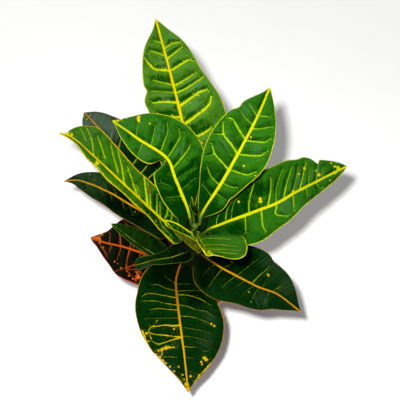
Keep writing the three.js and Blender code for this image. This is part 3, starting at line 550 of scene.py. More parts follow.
class Graph:
    """A material's node tree, with one short call for each kind of node."""

    def __init__(self, name):
        self.material = bpy.data.materials.new(name)
        self.material.use_nodes = True
        self.nodes = self.material.node_tree.nodes
        self.links = self.material.node_tree.links
        self.shader = self.nodes["Principled BSDF"]
        self.place = self.nodes.new("ShaderNodeTexCoord").outputs["Object"]

    def feed(self, socket, value):
        if isinstance(value, bpy.types.NodeSocket):
            self.links.new(value, socket)
        else:
            socket.default_value = value

    def attribute(self, name):
        node = self.nodes.new("ShaderNodeAttribute")
        node.attribute_name = name
        return node.outputs["Fac"]

    def height(self):
        """Metres above the floor."""
        node = self.nodes.new("ShaderNodeSeparateXYZ")
        self.links.new(self.place, node.inputs[0])
        return node.outputs["Z"]

    def maths(self, operation, first, second=0.0):
        node = self.nodes.new("ShaderNodeMath")
        node.operation = operation
        self.feed(node.inputs[0], first)
        self.feed(node.inputs[1], second)
        return node.outputs[0]

    def step(self, value, low, high):
        """0 below low and 1 above high, smooth between."""
        node = self.nodes.new("ShaderNodeMapRange")
        node.interpolation_type = "SMOOTHSTEP"
        self.feed(node.inputs["Value"], value)
        self.feed(node.inputs["From Min"], low)
        self.feed(node.inputs["From Max"], high)
        return node.outputs["Result"]

    def between(self, value, low, high):
        """low where the value is 0 and high where it is 1."""
        node = self.nodes.new("ShaderNodeMapRange")
        self.feed(node.inputs["Value"], value)
        node.inputs["To Min"].default_value = low
        node.inputs["To Max"].default_value = high
        return node.outputs["Result"]

    def blend(self, share, first, second):
        node = self.nodes.new("ShaderNodeMix")
        node.data_type = "RGBA"
        self.feed(node.inputs[MIX_SHARE], share)
        self.feed(node.inputs[MIX_FIRST], first)
        self.feed(node.inputs[MIX_SECOND], second)
        return node.outputs[MIX_RESULT]

    def total(self, base, *parts):
        """The base and, for each part, its value times its weight."""
        result = base
        for value, weight in parts:
            result = self.maths("ADD", self.maths("MULTIPLY", value, weight), result)
        return result

    def noise(self, scale, detail, roughness=0.5):
        """Noise, 0 to 1, with scale features in a metre."""
        node = self.nodes.new("ShaderNodeTexNoise")
        node.inputs["Scale"].default_value = scale
        node.inputs["Detail"].default_value = detail
        node.inputs["Roughness"].default_value = roughness
        self.links.new(self.place, node.inputs["Vector"])
        return node.outputs["Fac"]

    def streaks(self, across, scale, detail):
        """Noise in one direction, along a value in mm, with scale features in a mm."""
        node = self.nodes.new("ShaderNodeTexNoise")
        node.noise_dimensions = "1D"
        node.inputs["Scale"].default_value = scale
        node.inputs["Detail"].default_value = detail
        self.links.new(across, node.inputs["W"])
        return node.outputs["Fac"]

    def bump(self, height, distance, strength):
        node = self.nodes.new("ShaderNodeBump")
        node.inputs["Strength"].default_value = strength
        node.inputs["Distance"].default_value = distance
        self.links.new(height, node.inputs["Height"])
        self.links.new(node.outputs["Normal"], self.shader.inputs["Normal"])

    def finish(self, colour, roughness, specular):
        self.feed(self.shader.inputs["Base Color"], colour)
        self.feed(self.shader.inputs["Roughness"], roughness)
        self.shader.inputs["Specular IOR Level"].default_value = specular
        return self.material


LEAF_GAIN = 0.47  # the lights over the leaves are brighter than a white surface shows at full
UNDER_SHADE = 0.7  # how light an underside's darkest patches are, as a share of its colour
LEAF_GLINT = (0.3, 1, 0.3, 1)  # the tint of its highlights, which keeps them from greying the green


def tones_of(look):
    tones = {key: linear(value, LEAF_GAIN) for key, value in look.items() if isinstance(value, tuple)}
    tones["scorch"] = linear(SCORCH, LEAF_GAIN)
    return tones


def leaf_green(g, look, tone, gap, fine):
    """The blade between its coloured veins, with painted light where it swells towards the light, painted
    shade in its creases and near the stem, a lighter halo by the stout veins and a painted soft sheen."""
    streak = g.streaks(g.attribute("fan"), 0.4, 3)
    # Random tone, with painted light on the swells and painted shade in the creases and by the stem.
    share = g.total(-0.6, (g.noise(40, 3), 0.55), (g.noise(130, 3), 0.5), (fine, 0.6), (streak, 0.3),
                    (g.step(gap, 0, 2.5), 0.2), (g.attribute("lit"), look["relief"]),
                    (g.attribute("gloom"), -0.8))
    green = g.blend(g.step(share, 0, 0.8), tone["dark"], tone["light"])
    # Painted sheen, in patches and along streaks.
    sheen = g.total(-1.25, (g.attribute("sheen"), 0.9), (g.noise(70, 3), 0.5), (streak, 1.6),
                    (g.attribute("lit"), 0.3))
    sheen = g.maths("MULTIPLY", g.step(sheen, 0.1, 0.8), look["sheen_share"])
    green = g.blend(sheen, green, tone["sheen"])
    halo = g.step(g.total(-1.6, (gap, 1), (fine, 3.2)), 1.6, 0)
    halo = g.maths("MULTIPLY", halo, g.maths("MULTIPLY", g.attribute("vein_tone"), look["halo"]))
    return g.blend(halo, green, tone["thin"])


def leaf_veins(g, look, tone, colour, gap, fine, grit):
    """Where the side veins are, with broken edges, and the colour with them and the flecks."""
    offset = g.maths("ABSOLUTE", g.attribute("vein_offset"))
    breaks = g.maths("MULTIPLY", g.step(g.noise(170, 2), 0.5, 0.72), look["broken"])
    vein = g.step(g.total(-1.5, (offset, 1), (fine, 1.8), (grit, 1.2), (breaks, 1)), 1.25, 0.8)
    vein = g.maths("MULTIPLY", vein, g.step(gap, 0.8, 0.4))
    paint = g.blend(g.attribute("vein_tone"), tone["thin"], tone["vein"])
    colour = g.blend(vein, colour, paint)
    flecks = g.step(g.total(0, (grit, 1), (g.attribute("dust"), 0.09)), 0.68, 0.72)
    return vein, g.blend(g.maths("MULTIPLY", flecks, look["fleck"]), colour, paint)


def leaf_marks(g, look, tone, colour, fine, grit):
    """The colour with its splashes, dry spots and edge."""
    splash = g.step(g.total(-0.75, (g.attribute("splash"), 1), (fine, 0.9), (grit, 0.6)), 0.45, 0.65)
    colour = g.blend(splash, colour, tone["splash"])
    scorch = g.step(g.total(-0.5, (g.attribute("scorch"), 1), (fine, 1)), 0.3, 0.7)
    colour = g.blend(g.maths("MULTIPLY", scorch, 0.8), colour, tone["scorch"])
    width = look["margin_width"]
    margin = g.total(-0.6 * width, (g.attribute("margin"), 1), (fine, 1.2 * width))
    return g.blend(g.step(margin, width * 1.2, width * 0.7), colour, tone["margin"])


def leaf_rib(g, look, tone, colour, fine):
    """The colour with its stalk and its midrib, which starts in the stalk's colour and is worn. Near the
    stem the stalk is painted dark with shade, most at its sides.
    """
    rib = g.step(g.total(-0.3, (g.attribute("rib_gap"), 1), (fine, 0.6)), 0.25, -0.25)
    worn = g.maths("MULTIPLY", g.step(g.noise(150, 3), 0.45, 0.75), 0.3)
    worn = g.blend(worn, tone["rib"], tone["vein"])
    foot = look["rib_foot"]
    grown = g.step(g.total(-0.1, (g.attribute("place"), 1), (fine, 0.2)), foot * 0.4, foot * 1.2)
    colour = g.blend(rib, colour, g.blend(grown, tone["stalk"], worn))
    # Painted shade on the stalk near the stem, darkest at its sides.
    sides = g.between(g.step(g.attribute("rib_gap"), -0.7, 0.1), 0.7, 1)
    shade = g.blend(g.maths("MULTIPLY", g.attribute("gloom"), sides), tone["stalk"], tone["dark"])
    return g.blend(g.attribute("stalk"), colour, shade)


def leaf_top_material(name, look):
    g = Graph(name)
    tone = tones_of(look)
    fine = g.noise(300, 3, 0.6)
    grit = g.noise(620, 2, 0.6)
    gap = g.attribute("vein_gap")
    colour = leaf_green(g, look, tone, gap, fine)
    vein, colour = leaf_veins(g, look, tone, colour, gap, fine, grit)
    colour = leaf_marks(g, look, tone, colour, fine, grit)
    colour = leaf_rib(g, look, tone, colour, fine)
    skin = g.total(0, (g.noise(1500, 2), 1), (fine, 2), (vein, 0.5))
    g.bump(skin, 0.00012, 0.5)
    g.shader.inputs["Specular Tint"].default_value = LEAF_GLINT
    return g.finish(colour, g.between(g.noise(90, 2), 0.38, 0.56), look["gloss"])


def leaf_under_material(name, look):
    g = Graph(name)
    tone = tones_of(look)
    shaded = linear([part * UNDER_SHADE for part in look["under"]], LEAF_GAIN)
    fine = g.noise(300, 3, 0.6)
    base = g.blend(g.step(g.total(0, (g.noise(60, 2), 0.7), (fine, 0.3)), 0.3, 0.7), shaded, tone["under"])
    rib = g.step(g.attribute("rib_gap"), 0.3, -0.3)
    vein = g.maths("MULTIPLY", g.step(g.attribute("vein_gap"), 0.9, 0.1), 0.5)
    colour = g.blend(g.maths("MAXIMUM", rib, vein), base, tone["under_rib"])
    width = look["margin_width"]
    colour = g.blend(g.step(g.attribute("margin"), width * 1.2, width * 0.7), colour, tone["margin"])
    colour = g.blend(g.attribute("stalk"), colour, tone["stalk"])
    g.bump(g.noise(1100, 3), 0.00015, 0.6)
    g.shader.inputs["Specular Tint"].default_value = LEAF_GLINT
    return g.finish(colour, g.between(g.noise(120, 2), 0.55, 0.7), 0.03)


# ---------------------------------------------------------------- meshes


def new_piece(name, points, faces, materials, face_materials=None):
    """A piece from points in mm and quads, smooth all over."""
    mesh = bpy.data.meshes.new(name)
    mesh.vertices.add(len(points))
    mesh.vertices.foreach_set("co", (np.asarray(points) * MM).astype(np.float32).ravel())
    mesh.loops.add(faces.size)
    mesh.loops.foreach_set("vertex_index", faces.astype(np.int32).ravel())
    mesh.polygons.add(len(faces))
    mesh.polygons.foreach_set("loop_start", np.arange(0, faces.size, faces.shape[1], dtype=np.int32))
    for material in materials:
        mesh.materials.append(material)
    if face_materials is not None:
        mesh.polygons.foreach_set("material_index", face_materials.astype(np.int32))
    mesh.update(calc_edges=True)
    mesh.shade_smooth()
    piece = bpy.data.objects.new(name, mesh)
    bpy.context.scene.collection.objects.link(piece)
    return piece


def keep_attribute(piece, name, values):
    attribute = piece.data.attributes.new(name, "FLOAT", "POINT")
    attribute.data.foreach_set("value", values.astype(np.float32).ravel())


def grid_faces(rows, columns, wrap=False):
    """Quads of a grid of points, counted row by row. A wrapped grid closes on its first column."""
    index = np.arange(rows * columns).reshape(rows, columns)
    across = np.roll(index, -1, axis=1) if wrap else index[:, 1:]
    index = index if wrap else index[:, :-1]
    return np.stack((index[:-1], across[:-1], across[1:], index[1:]), -1).reshape(-1, 4)


# ---------------------------------------------------------------- leaves


def stem_drift(height):
    """How far the stem leans away from the pot's middle at a height, both ways."""
    rise = np.clip((height - STEM["soil"]) / (STEM["top"] - STEM["soil"]), 0, 1)
    drift = rise * rise * (3 - 2 * rise)
    return STEM["lean"][0] * drift, STEM["lean"][1] * drift


def stem_axis(height):
    return np.array((*stem_drift(height), height))


def stem_radius(height):
    rise = (height - STEM["foot"]) / (STEM["top"] - STEM["foot"])
    return STEM["foot_radius"] + (STEM["top_radius"] - STEM["foot_radius"]) * rise


def hermite(start, start_slope, end, end_slope, t):
    t2, t3 = t * t, t * t * t
    return ((2 * t3 - 3 * t2 + 1) * start + (t3 - 2 * t2 + t) * start_slope
            + (3 * t2 - 2 * t3) * end + (t3 - t2) * end_slope)


def through(values, place):
    """A smooth value through the stations, from the slopes between their neighbours."""
    values = np.array(values, float)
    before = np.maximum(np.arange(len(STATIONS)) - 1, 0)
    after = np.minimum(np.arange(len(STATIONS)) + 1, len(STATIONS) - 1)
    slope = (values[after] - values[before]) / (STATIONS[after] - STATIONS[before])
    k = np.clip(np.searchsorted(STATIONS, place) - 1, 0, len(STATIONS) - 2)
    span = STATIONS[k + 1] - STATIONS[k]
    t = (place - STATIONS[k]) / span
    return hermite(values[k], span * slope[k], values[k + 1], span * slope[k + 1], t)


def half_width(leaf, side, place):
    width = np.maximum(through((0, *leaf[side], 0), place), 0)
    for notched, at, depth, spread in leaf.get("notches", ()):
        if notched == side:
            width = width * (1 - depth * np.exp(-(((place - at) / spread) ** 2)))
    return width


def spine_points(leaf):
    heading, height = leaf["root"]
    turn = math.radians(heading)
    outward = np.array((math.cos(turn), math.sin(turn), 0))
    foot = stem_axis(height) + outward * (stem_radius(height) + STEM["ring_rise"] + CLEARANCE)
    run, rise = BLADE["knee"]
    knee = foot + outward * run + np.array((0, 0, rise))
    return np.array([foot, knee, *leaf["spine"]], float)


def catmull(points, t):
    """Points and tangents of the curve through the given points, t from 0 to 1."""
    ends = np.vstack((2 * points[0] - points[1], points, 2 * points[-1] - points[-2]))
    p = np.clip(t, 0, 1) * (len(points) - 1)
    i = np.minimum(p.astype(int), len(points) - 2)
    w = (p - i)[:, None]
    a, b, c, d = ends[i], ends[i + 1], ends[i + 2], ends[i + 3]
    m0, m1 = (c - a) / 2, (d - b) / 2
    place = hermite(b, m0, c, m1, w)
    slope = ((6 * w**2 - 6 * w) * b + (3 * w**2 - 4 * w + 1) * m0
             + (6 * w - 6 * w**2) * c + (3 * w**2 - 2 * w) * m1)
    return place, slope / np.linalg.norm(slope, axis=1, keepdims=True)


def uneven(rng, x, y, shortest, longest, count=6):
    """Smooth noise about -1 to 1, as a sum of waves with seeded directions."""
    total = np.zeros(np.broadcast(x, y).shape)
    for _ in range(count):
        length = rng.uniform(shortest, longest)
        turn = rng.uniform(0, math.tau)
        phase = rng.uniform(0, math.tau)
        total += np.sin(math.tau * (x * math.cos(turn) + y * math.sin(turn)) / length + phase)
    return total / math.sqrt(count)


def rows_along(leaf, length):
    """For each row of the grid, from the stem out: its share of the leaf's length, its place on the
    blade from 0 to 1, and how bare it is, from 1 on the stalk to 0 where the blade is fully there."""
    start = leaf["stalk"] / length
    t = np.linspace(0, 1, int((length - leaf["stalk"]) / BLADE["grid"]) + 1)
    place = t - BLADE["crowding"] * np.sin(math.tau * t)
    count = BLADE["stalk_rows"]
    along = np.concatenate((start * np.arange(count) / count, start + (1 - start) * place))
    bare = np.concatenate((np.ones(count), np.maximum(1 - place / BLADE["blend"], 0)))
    return along, np.concatenate((np.zeros(count), place)), bare


def breadths(leaf, rng, s, place, bare):
    """The breadth of each row left and right of the midrib, with a slightly uneven edge."""
    core = BLADE["stalk_radius"] + (BLADE["tip_radius"] - BLADE["stalk_radius"]) * place ** BLADE["taper"]
    both = []
    for side in SIGN:
        width = half_width(leaf, side, place)
        jitter = uneven(rng, s, 0, *BLADE["jitter_lengths"]) * BLADE["edge_jitter"]
        jitter *= np.clip(width / BLADE["jitter_from"], 0, 1)
        both.append(core + np.where(bare < 1, width + jitter, 0))
    return both


def lay_out(leaf, rng):
    """The leaf's middle surface on a fine grid, with everything that its relief and colours need. Its
    s runs along the midrib and its t across, both in mm, with t below 0 on the left."""
    points = spine_points(leaf)
    fine = np.linspace(0, 1, SPINE_STEPS)
    sampled, _ = catmull(points, fine)
    run = np.concatenate(((0,), np.cumsum(np.linalg.norm(np.diff(sampled, axis=0), axis=1))))
    along, place, bare = rows_along(leaf, run[-1])
    s = along * run[-1]
    centre, tangent = catmull(points, np.interp(s, run, fine))
    left = np.cross((0, 0, 1), tangent)
    left /= np.linalg.norm(left, axis=1, keepdims=True)
    normal = np.cross(tangent, left)

    half = int(max(*leaf["left"], *leaf["right"]) / BLADE["grid"]) + 2
    v = np.arange(-half, half + 1) / half
    reach = np.abs(v)
    sign = np.sign(v)

    def by_side(both):
        return np.where(v < 0, both[0][:, None], both[1][:, None])

    def spread(vectors, factors):
        return vectors[:, None, :] * factors[..., None]

    width = by_side(breadths(leaf, rng, s, place, bare))
    twist = leaf.get("twist", (0, 0))
    fold = np.radians(by_side([leaf["fold"][k] + twist[k] * (2 * place - 1) for k in (0, 1)]))
    opened = (1 - bare) * (1 - place ** leaf.get("unfold", BLADE["unfold"]))
    lift = np.where(v == 0, 0, fold) * opened[:, None]
    wave_height, waves = leaf["wave"]
    phase = math.tau * waves * place[:, None] + np.where(v < 0, 0, BLADE["ripple_shift"])
    ripple = wave_height * np.sin(math.pi * place)[:, None]
    wave = ripple * reach ** BLADE["ripple_power"] * np.sin(phase)
    outward = spread(left, -sign * np.cos(lift)) + spread(normal, np.sin(lift))
    face = spread(normal, np.cos(lift)) + spread(left, sign * np.sin(lift))
    middle = centre[:, None, :] + outward * (width * reach)[..., None] + face * wave[..., None]

    grid = {"middle": middle, "face": face, "pixels": photo_pixel(middle), "width": width,
            "t": width * v, "start": leaf["stalk"], "length": run[-1]}
    for key, values in (("s", s), ("place", place), ("bare", bare)):
        grid[key] = np.broadcast_to(values[:, None], width.shape)
    for key, values in (("reach", reach), ("side", sign)):
        grid[key] = np.broadcast_to(values, width.shape)
    return grid


def on_blade(grid, side, pixel):
    """The place on the blade's half, as (s, t), that the photograph shows there."""
    apart = np.linalg.norm(grid["pixels"] - np.array(pixel), axis=-1)
    apart = np.where((grid["side"] == SIGN[side]) & (grid["bare"] < 1), apart, np.inf)
    i, j = np.unravel_index(np.argmin(apart), apart.shape)
    i = min(max(i, 1), apart.shape[0] - 2)
    j = min(max(j, 1), apart.shape[1] - 2)
    along = grid["pixels"][i + 1, j] - grid["pixels"][i - 1, j]
    across = grid["pixels"][i, j + 1] - grid["pixels"][i, j - 1]
    miss = np.array(pixel) - grid["pixels"][i, j]
    step, _, _, _ = np.linalg.lstsq(np.stack((along, across), 1), miss, rcond=None)
    step = np.clip(step, -0.5, 0.5)
    s = grid["s"][i, j] + step[0] * (grid["s"][i + 1, j] - grid["s"][i - 1, j])
    t = grid["t"][i, j] + step[1] * (grid["t"][i, j + 1] - grid["t"][i, j - 1])
    return s, t


PLAIN = {
    "start": (0.2, 0.8),  # where a vein starts in its own stretch of the blade
    "forward": (0.45, 0.7),  # how far it runs forward, as a share of the half-width
    "reach": (0.7, 0.92),  # how far it runs across, likewise
    "bend": (0.35, 0.5),  # where it bends, as shares of its way forward and of the half-width
    "strength": (0.7, 1.2),
}


def plain_veins(leaf, grid, rng):
    """Side veins by rule, on the parts of a blade that the photograph doesn't show."""
    courses = []
    blade = grid["length"] - grid["start"]
    ahead, out = PLAIN["bend"]
    for side, first, last, count, strength in leaf.get("plain", ()):
        for k in range(count):
            place = first + (last - first) * (k + rng.uniform(*PLAIN["start"])) / count
            width = float(half_width(leaf, side, np.array([place]))[0])
            forward = width * rng.uniform(*PLAIN["forward"])
            reach = rng.uniform(*PLAIN["reach"])
            s = grid["start"] + place * blade
            width *= SIGN[side]
            points = [(s, 0), (s + forward * ahead, width * out), (s + forward, width * reach)]
            courses.append((strength * rng.uniform(*PLAIN["strength"]), points))
    return courses


FAR = 40.0  # mm, further than any two side veins stand apart
VEIN_STEPS = 5  # straight stretches for each stretch of a vein's course
VEIN_REACH = 9  # mm around a vein in which it counts
VEIN_TAPER = (1.25, 0.75)  # a vein's breadth at its start, and how much of it is gone at its end
SNAP = 5  # mm from the midrib within which a vein starts on it
TWIG = {
    "share": 0.4,  # of its vein's strength
    "length": 4,
    "lengths": (0.4, 1.2),  # shortest and longest, as shares of that length
    "turn": 0.9,  # away from its vein, in radians
    "turns": (0.5, 1.2),
    "bend": 0.3,  # where it bends, as a share of its length, and how far it runs on from there
    "end": 0.6,
    "boldest": 1.8,  # strength of the boldest vein that has forks
}


def twigs(courses, rng):
    """A fork at the outer end of each side vein."""
    forks = []
    for strength, points in courses:
        if strength > TWIG["boldest"]:
            continue
        ahead = np.array(points[-1]) - np.array(points[-2])
        ahead /= np.linalg.norm(ahead)
        for way in (-1, 1):
            angle = way * TWIG["turn"] * rng.uniform(*TWIG["turns"])
            bent = np.array((ahead[0] * math.cos(angle) - ahead[1] * math.sin(angle),
                             ahead[0] * math.sin(angle) + ahead[1] * math.cos(angle)))
            reach = TWIG["length"] * rng.uniform(*TWIG["lengths"])
            middle = points[-1] + (ahead + bent) * reach * TWIG["bend"]
            end = middle + bent * reach * TWIG["end"]
            forks.append((strength * TWIG["share"], [points[-1], middle, end]))
    return forks


def vein_courses(leaf, grid, rng):
    """The blade's side veins: those of the photograph, and then those by rule."""
    courses = []
    for side, veins in leaf.get("veins", {}).items():
        for strength, *pixels in veins:
            points = [on_blade(grid, side, pixel) for pixel in pixels]
            s, t = points[0]
            if abs(t) < SNAP:
                points[0] = (s, 0)
            courses.append((strength, points))
    return courses + plain_veins(leaf, grid, rng)


def vein_fields(grid, courses, vein_half):
    """For each point of the grid, its signed distance to the nearest vein in that vein's half-breadths,
    how far it lies outside the vein in mm, and the vein's strength."""
    here = np.stack((grid["s"], grid["t"]), -1).reshape(-1, 2)
    offset = np.full(len(here), FAR)
    gap = np.full(len(here), FAR)
    tone = np.zeros(len(here))
    stout, loss = VEIN_TAPER
    for strength, points in courses:
        points = np.array(points, float)
        stretches = VEIN_STEPS * (len(points) - 1)
        sampled, _ = catmull(points, np.linspace(0, 1, stretches + 1))
        low, high = sampled.min(0) - VEIN_REACH, sampled.max(0) + VEIN_REACH
        near = np.nonzero(((here > low) & (here < high)).all(1))[0]
        for k in range(stretches):
            line = sampled[k + 1] - sampled[k]
            out = here[near] - sampled[k]
            share = np.clip(out @ line / (line @ line), 0, 1)
            apart = np.linalg.norm(out - share[:, None] * line, axis=1)
            side = np.sign(out[:, 1] * line[0] - out[:, 0] * line[1])
            breadth = vein_half * strength * (stout - loss * (k + share) / stretches)
            closer = apart - breadth < gap[near]
            gap[near[closer]] = (apart - breadth)[closer]
            offset[near[closer]] = (side * apart / breadth)[closer]
            tone[near[closer]] = strength
    weak, strong = BLADE["vein_range"]
    tone = np.clip((tone - weak) / (strong - weak), 0, 1)
    return np.stack((offset, gap, tone)).reshape(3, *grid["s"].shape)


def patches(grid, spots, sharpness=0.7):
    """How near each point is to the nearest of the spots: 1 at its middle, fading past its radius."""
    amount = np.zeros(grid["s"].shape)
    for x, y, radius in spots:
        apart = np.linalg.norm(grid["pixels"] - np.array((x, y)), axis=-1)
        amount = np.maximum(amount, np.exp(-sharpness * (apart / radius) ** 2))
    return amount


def normals(points):
    """Unit normals of a grid of points, on its upper side."""
    across = np.cross(np.gradient(points, axis=0), np.gradient(points, axis=1))
    across *= -1
    return across / np.maximum(np.linalg.norm(across, axis=-1, keepdims=True), 1e-9)


PAINTED_SUN = np.array((-0.35, 0.62, 0.70))  # the way to the light for the swells' painted light and shade
LIT_BY = (2.6, 0.8)  # how much the fine relief and the blade's own slope tell in that
STEM_GLOOM = 34  # mm around the stem in which leaves are painted dark for each other's shade
FAN_LEAN = 0.55  # how far a side vein runs forward for its way across
STALK_REACH = 3  # mm around the midrib over which the stalk's colour runs out into the blade
DUST_REACH = 2.5  # mm from a vein over which flecks get few
DUST_SPREAD = 0.06  # how sharply flecks keep to a splash
NO_MARGIN = 9.0  # mm, as far from the edge as the margin's colour never comes


def painted_light_and_shade(leaf, grid, upper):
    """How far the fine relief leans to the light, and how deep the blade stands in shade, for the
    painted light and shade of its colour.
    """
    smooth = normals(grid["middle"]) @ PAINTED_SUN
    relief = normals(upper) @ PAINTED_SUN - smooth
    lit = np.clip(LIT_BY[0] * relief + LIT_BY[1] * (smooth - PAINTED_SUN[2]), -1, 1) + leaf.get("lift", 0)
    x, y, z = np.moveaxis(grid["middle"], -1, 0)
    stem_x, stem_y = stem_drift(z)
    away = np.hypot(x - stem_x, y - stem_y)
    gloom = np.exp(-((away / STEM_GLOOM) ** 2)) * leaf.get("gloom", 1)
    return lit, np.maximum(gloom, patches(grid, leaf.get("shade", ())))


def rib_breadth(look, place):
    """The midrib's half-breadth in mm along the blade."""
    narrow, full = BLADE["rib_start"]
    grown = np.clip(place / full, 0, 1)
    return look["rib_half"] * (1 - BLADE["rib_taper"] * place) * (narrow + (1 - narrow) * grown)


def surfaces(grid, rib_half, vein_gap, rng):
    """The blade's upper and lower surface, quilted between the side veins, with its midrib raised a
    little above and standing out below."""
    bare, reach, place = grid["bare"], grid["reach"], grid["place"]
    across = np.abs(grid["t"])
    groove = np.exp(-((np.maximum(vein_gap, 0) / BLADE["groove_breadth"]) ** 2))
    rib = np.exp(-((across / (rib_half * BLADE["rib_round"])) ** 2))
    flutter = uneven(rng, grid["s"], grid["t"], *BLADE["flutter_lengths"]) * BLADE["flutter"]
    swell = BLADE["quilt"] * (1 - groove) * (1 - np.exp(-((across / BLADE["rib_valley"]) ** 2)))
    open_blade = (1 - bare) * (1 - reach ** BLADE["flat_rim"])
    middle = grid["middle"] + grid["face"] * ((flutter + swell) * open_blade)[..., None]
    round_stalk = np.sqrt(np.maximum(1 - reach**2, 0)) * bare
    round_stalk *= BLADE["stalk_radius"] - BLADE["half_thickness"]
    thinned, rim_power = BLADE["thin_rim"]
    thickness = BLADE["half_thickness"] * (1 - thinned * reach**rim_power) + round_stalk
    rise = BLADE["rib_rise"] * rib * (1 - bare) * (1 - place)
    drop = BLADE["rib_depth"] * rib * (1 - place) + BLADE["groove_depth"] * groove * (1 - reach)
    drop *= 1 - bare
    upper = middle + grid["face"] * (thickness + rise)[..., None]
    lower = middle - grid["face"] * (thickness + drop)[..., None]
    return upper, lower


def closed_faces(rows, columns):
    """Quads of two like grids of points, one above and one below, joined around their rims, and for
    each quad 1 where it is of the lower grid and else 0."""
    count = rows * columns
    index = np.arange(count).reshape(rows, columns)
    top = grid_faces(rows, columns)
    parts = [top, top[:, ::-1] + count]
    for edge, flip in ((index[:, 0], False), (index[:, -1], True), (index[0], True), (index[-1], False)):
        strip = np.stack((edge[:-1], edge[1:], edge[1:] + count, edge[:-1] + count), -1)
        parts.append(strip[:, ::-1] if flip else strip)
    faces = np.vstack(parts)
    below = np.repeat((0, 1, 0), (len(top), len(top), len(faces) - 2 * len(top)))
    return faces, below


def leaf_fields(leaf, grid, upper, rib_half, veins):
    """What the leaf's materials read at each point."""
    vein_offset, vein_gap, vein_tone = veins
    across = np.abs(grid["t"])
    lit, gloom = painted_light_and_shade(leaf, grid, upper)
    spots = leaf.get("spots", ())
    dust = np.exp(-np.maximum(vein_gap, 0) / DUST_REACH) * vein_tone
    by_rib = np.where(grid["bare"] < 1, np.exp(-((across / STALK_REACH) ** 2)), 1)
    return {
        "vein_offset": vein_offset,
        "vein_gap": vein_gap,
        "vein_tone": vein_tone,
        "rib_gap": across - rib_half,
        "margin": np.where(grid["bare"] < 1, grid["width"] * (1 - grid["reach"]), NO_MARGIN),
        "splash": patches(grid, spots),
        "dust": np.maximum(dust, patches(grid, spots, DUST_SPREAD)),
        "scorch": patches(grid, leaf.get("scorch", ())),
        # sheen, lit and gloom carry the painted sheen, light and shade.
        "sheen": patches(grid, leaf.get("sheen", ())),
        "stalk": grid["bare"] ** 2 * by_rib,
        "place": grid["place"],
        "lit": lit,
        "gloom": gloom,
        "fan": grid["s"] - FAN_LEAN * across,
    }


def build_leaf(number, name, leaf):
    rng = np.random.default_rng(number)
    look = LOOKS[leaf["look"]]
    grid = lay_out(leaf, rng)
    courses = vein_courses(leaf, grid, rng)
    bold = vein_fields(grid, courses, look["vein_half"])
    forks = vein_fields(grid, twigs(courses, rng), look["vein_half"])
    rib_half = rib_breadth(look, grid["place"])
    upper, lower = surfaces(grid, rib_half, bold[1], rng)
    fields = leaf_fields(leaf, grid, upper, rib_half, np.where(forks[1] < bold[1], forks, bold))
    points = np.vstack((upper.reshape(-1, 3), lower.reshape(-1, 3)))
    faces, below = closed_faces(*grid["width"].shape)
    piece = new_piece("skin_" + name, points, faces, MATERIALS[leaf["look"]], below)
    for key, values in fields.items():
        keep_attribute(piece, key, np.concatenate((values.ravel(), values.ravel())))
    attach(piece, "root")
    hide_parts(name)


MATERIALS = {
    name: (leaf_top_material("leaf_" + name, look), leaf_under_material("leaf_under_" + name, look))
    for name, look in LOOKS.items()
}
for number, (name, leaf) in enumerate(LEAVES.items()):
    build_leaf(number, name, leaf)

# ---------------------------------------------------------------- stem, soil and pot

POT = {
    "height": 105,
    "rim_radius": 58,
    "rim_depth": 16,
    "rim_step": 2.2,
    "base_radius": 41,
    "wall": 2,
    "floor": 3,
    "edge": 1.5,
    "lip": 1,
    "drain_radius": 4.5,
    "drain_circle": 25,
    "drain_sides": 32,
    "drains": 5,
    "sides": 144,
}
SOIL = {
    "crown": 3,  # how far its middle stands above its shore at the wall, which slumps
    "slump": 3,
    "ledge": (0.5, 0.6),  # a place between the middle and the wall, and the share of the crown there
    "collar": 2,  # around the stem, where the soil dips
    "dip": 1,
    "grain": 0.9,
    "crumb": 0.7,
    "crumb_lengths": ((5, 14), (2.2, 5)),
    "crumb_share": 0.5,  # of the smaller crumbs
    "crumb_base": 0.6,
    "crumb_limit": 1.2,
    "sides": 240,
    "seed": 92,
}


def ring(radius, height, sides, middle=(0, 0)):
    turn = np.arange(sides) / sides * math.tau
    return np.stack((middle[0] + radius * np.cos(turn), middle[1] + radius * np.sin(turn),
                     np.zeros(sides) + height), -1)


def end_caps(rows, sides):
    """Quads across the first ring, facing down, and across the last, facing up."""
    caps = []
    for row, down in ((0, True), (rows - 1, False)):
        base = row * sides
        for k in range(sides // 2 - 1):
            quad = [base + k, base + k + 1, base + sides - k - 2, base + sides - k - 1]
            caps.append(quad[::-1] if down else quad)
    return np.array(caps)


def bark_material():
    g = Graph("stem_bark")
    height = g.height()
    young = g.step(height, *(mark * MM for mark in BARK["green"]))
    grain = g.noise(220, 4, 0.6)
    bark = g.blend(grain, linear((20, 20, 10)), linear((76, 68, 38)))
    bark = g.blend(g.step(g.noise(70, 2), 0.5, 0.7), bark, linear((34, 48, 16)))
    # Higher up the stem is green, its dark tone partly its own and partly painted shade under the leaves.
    green = g.blend(grain, linear((4, 16, 1)), linear((28, 56, 8)))
    colour = g.blend(young, bark, green)
    bud = g.step(height, *(mark * MM for mark in BARK["bud"]))
    colour = g.blend(bud, colour, linear((78, 104, 34)))
    g.bump(g.noise(500, 5, 0.65), 0.0006, 0.8)
    return g.finish(colour, g.between(grain, 0.7, 0.9), 0.03)


def scar_rise(height, turn):
    """How far a leaf scar stands out at a height, all around the stem."""
    above = height - STEM["soil"] - STEM["first_ring"]
    if above <= 0 or height >= STEM["top"] - BARK["smooth_top"]:
        return 0
    scar = int(above / STEM["ring_spacing"])
    within = above - scar * STEM["ring_spacing"] - BARK["scar_middle"]
    base, swing = BARK["scar_facing"]
    facing = base + swing * np.cos(turn - BARK["scar_turn"] * scar)
    rise = STEM["ring_rise"] + BARK["scar_rise"]
    return rise * facing * math.exp(-((within / BARK["scar_breadth"]) ** 2))


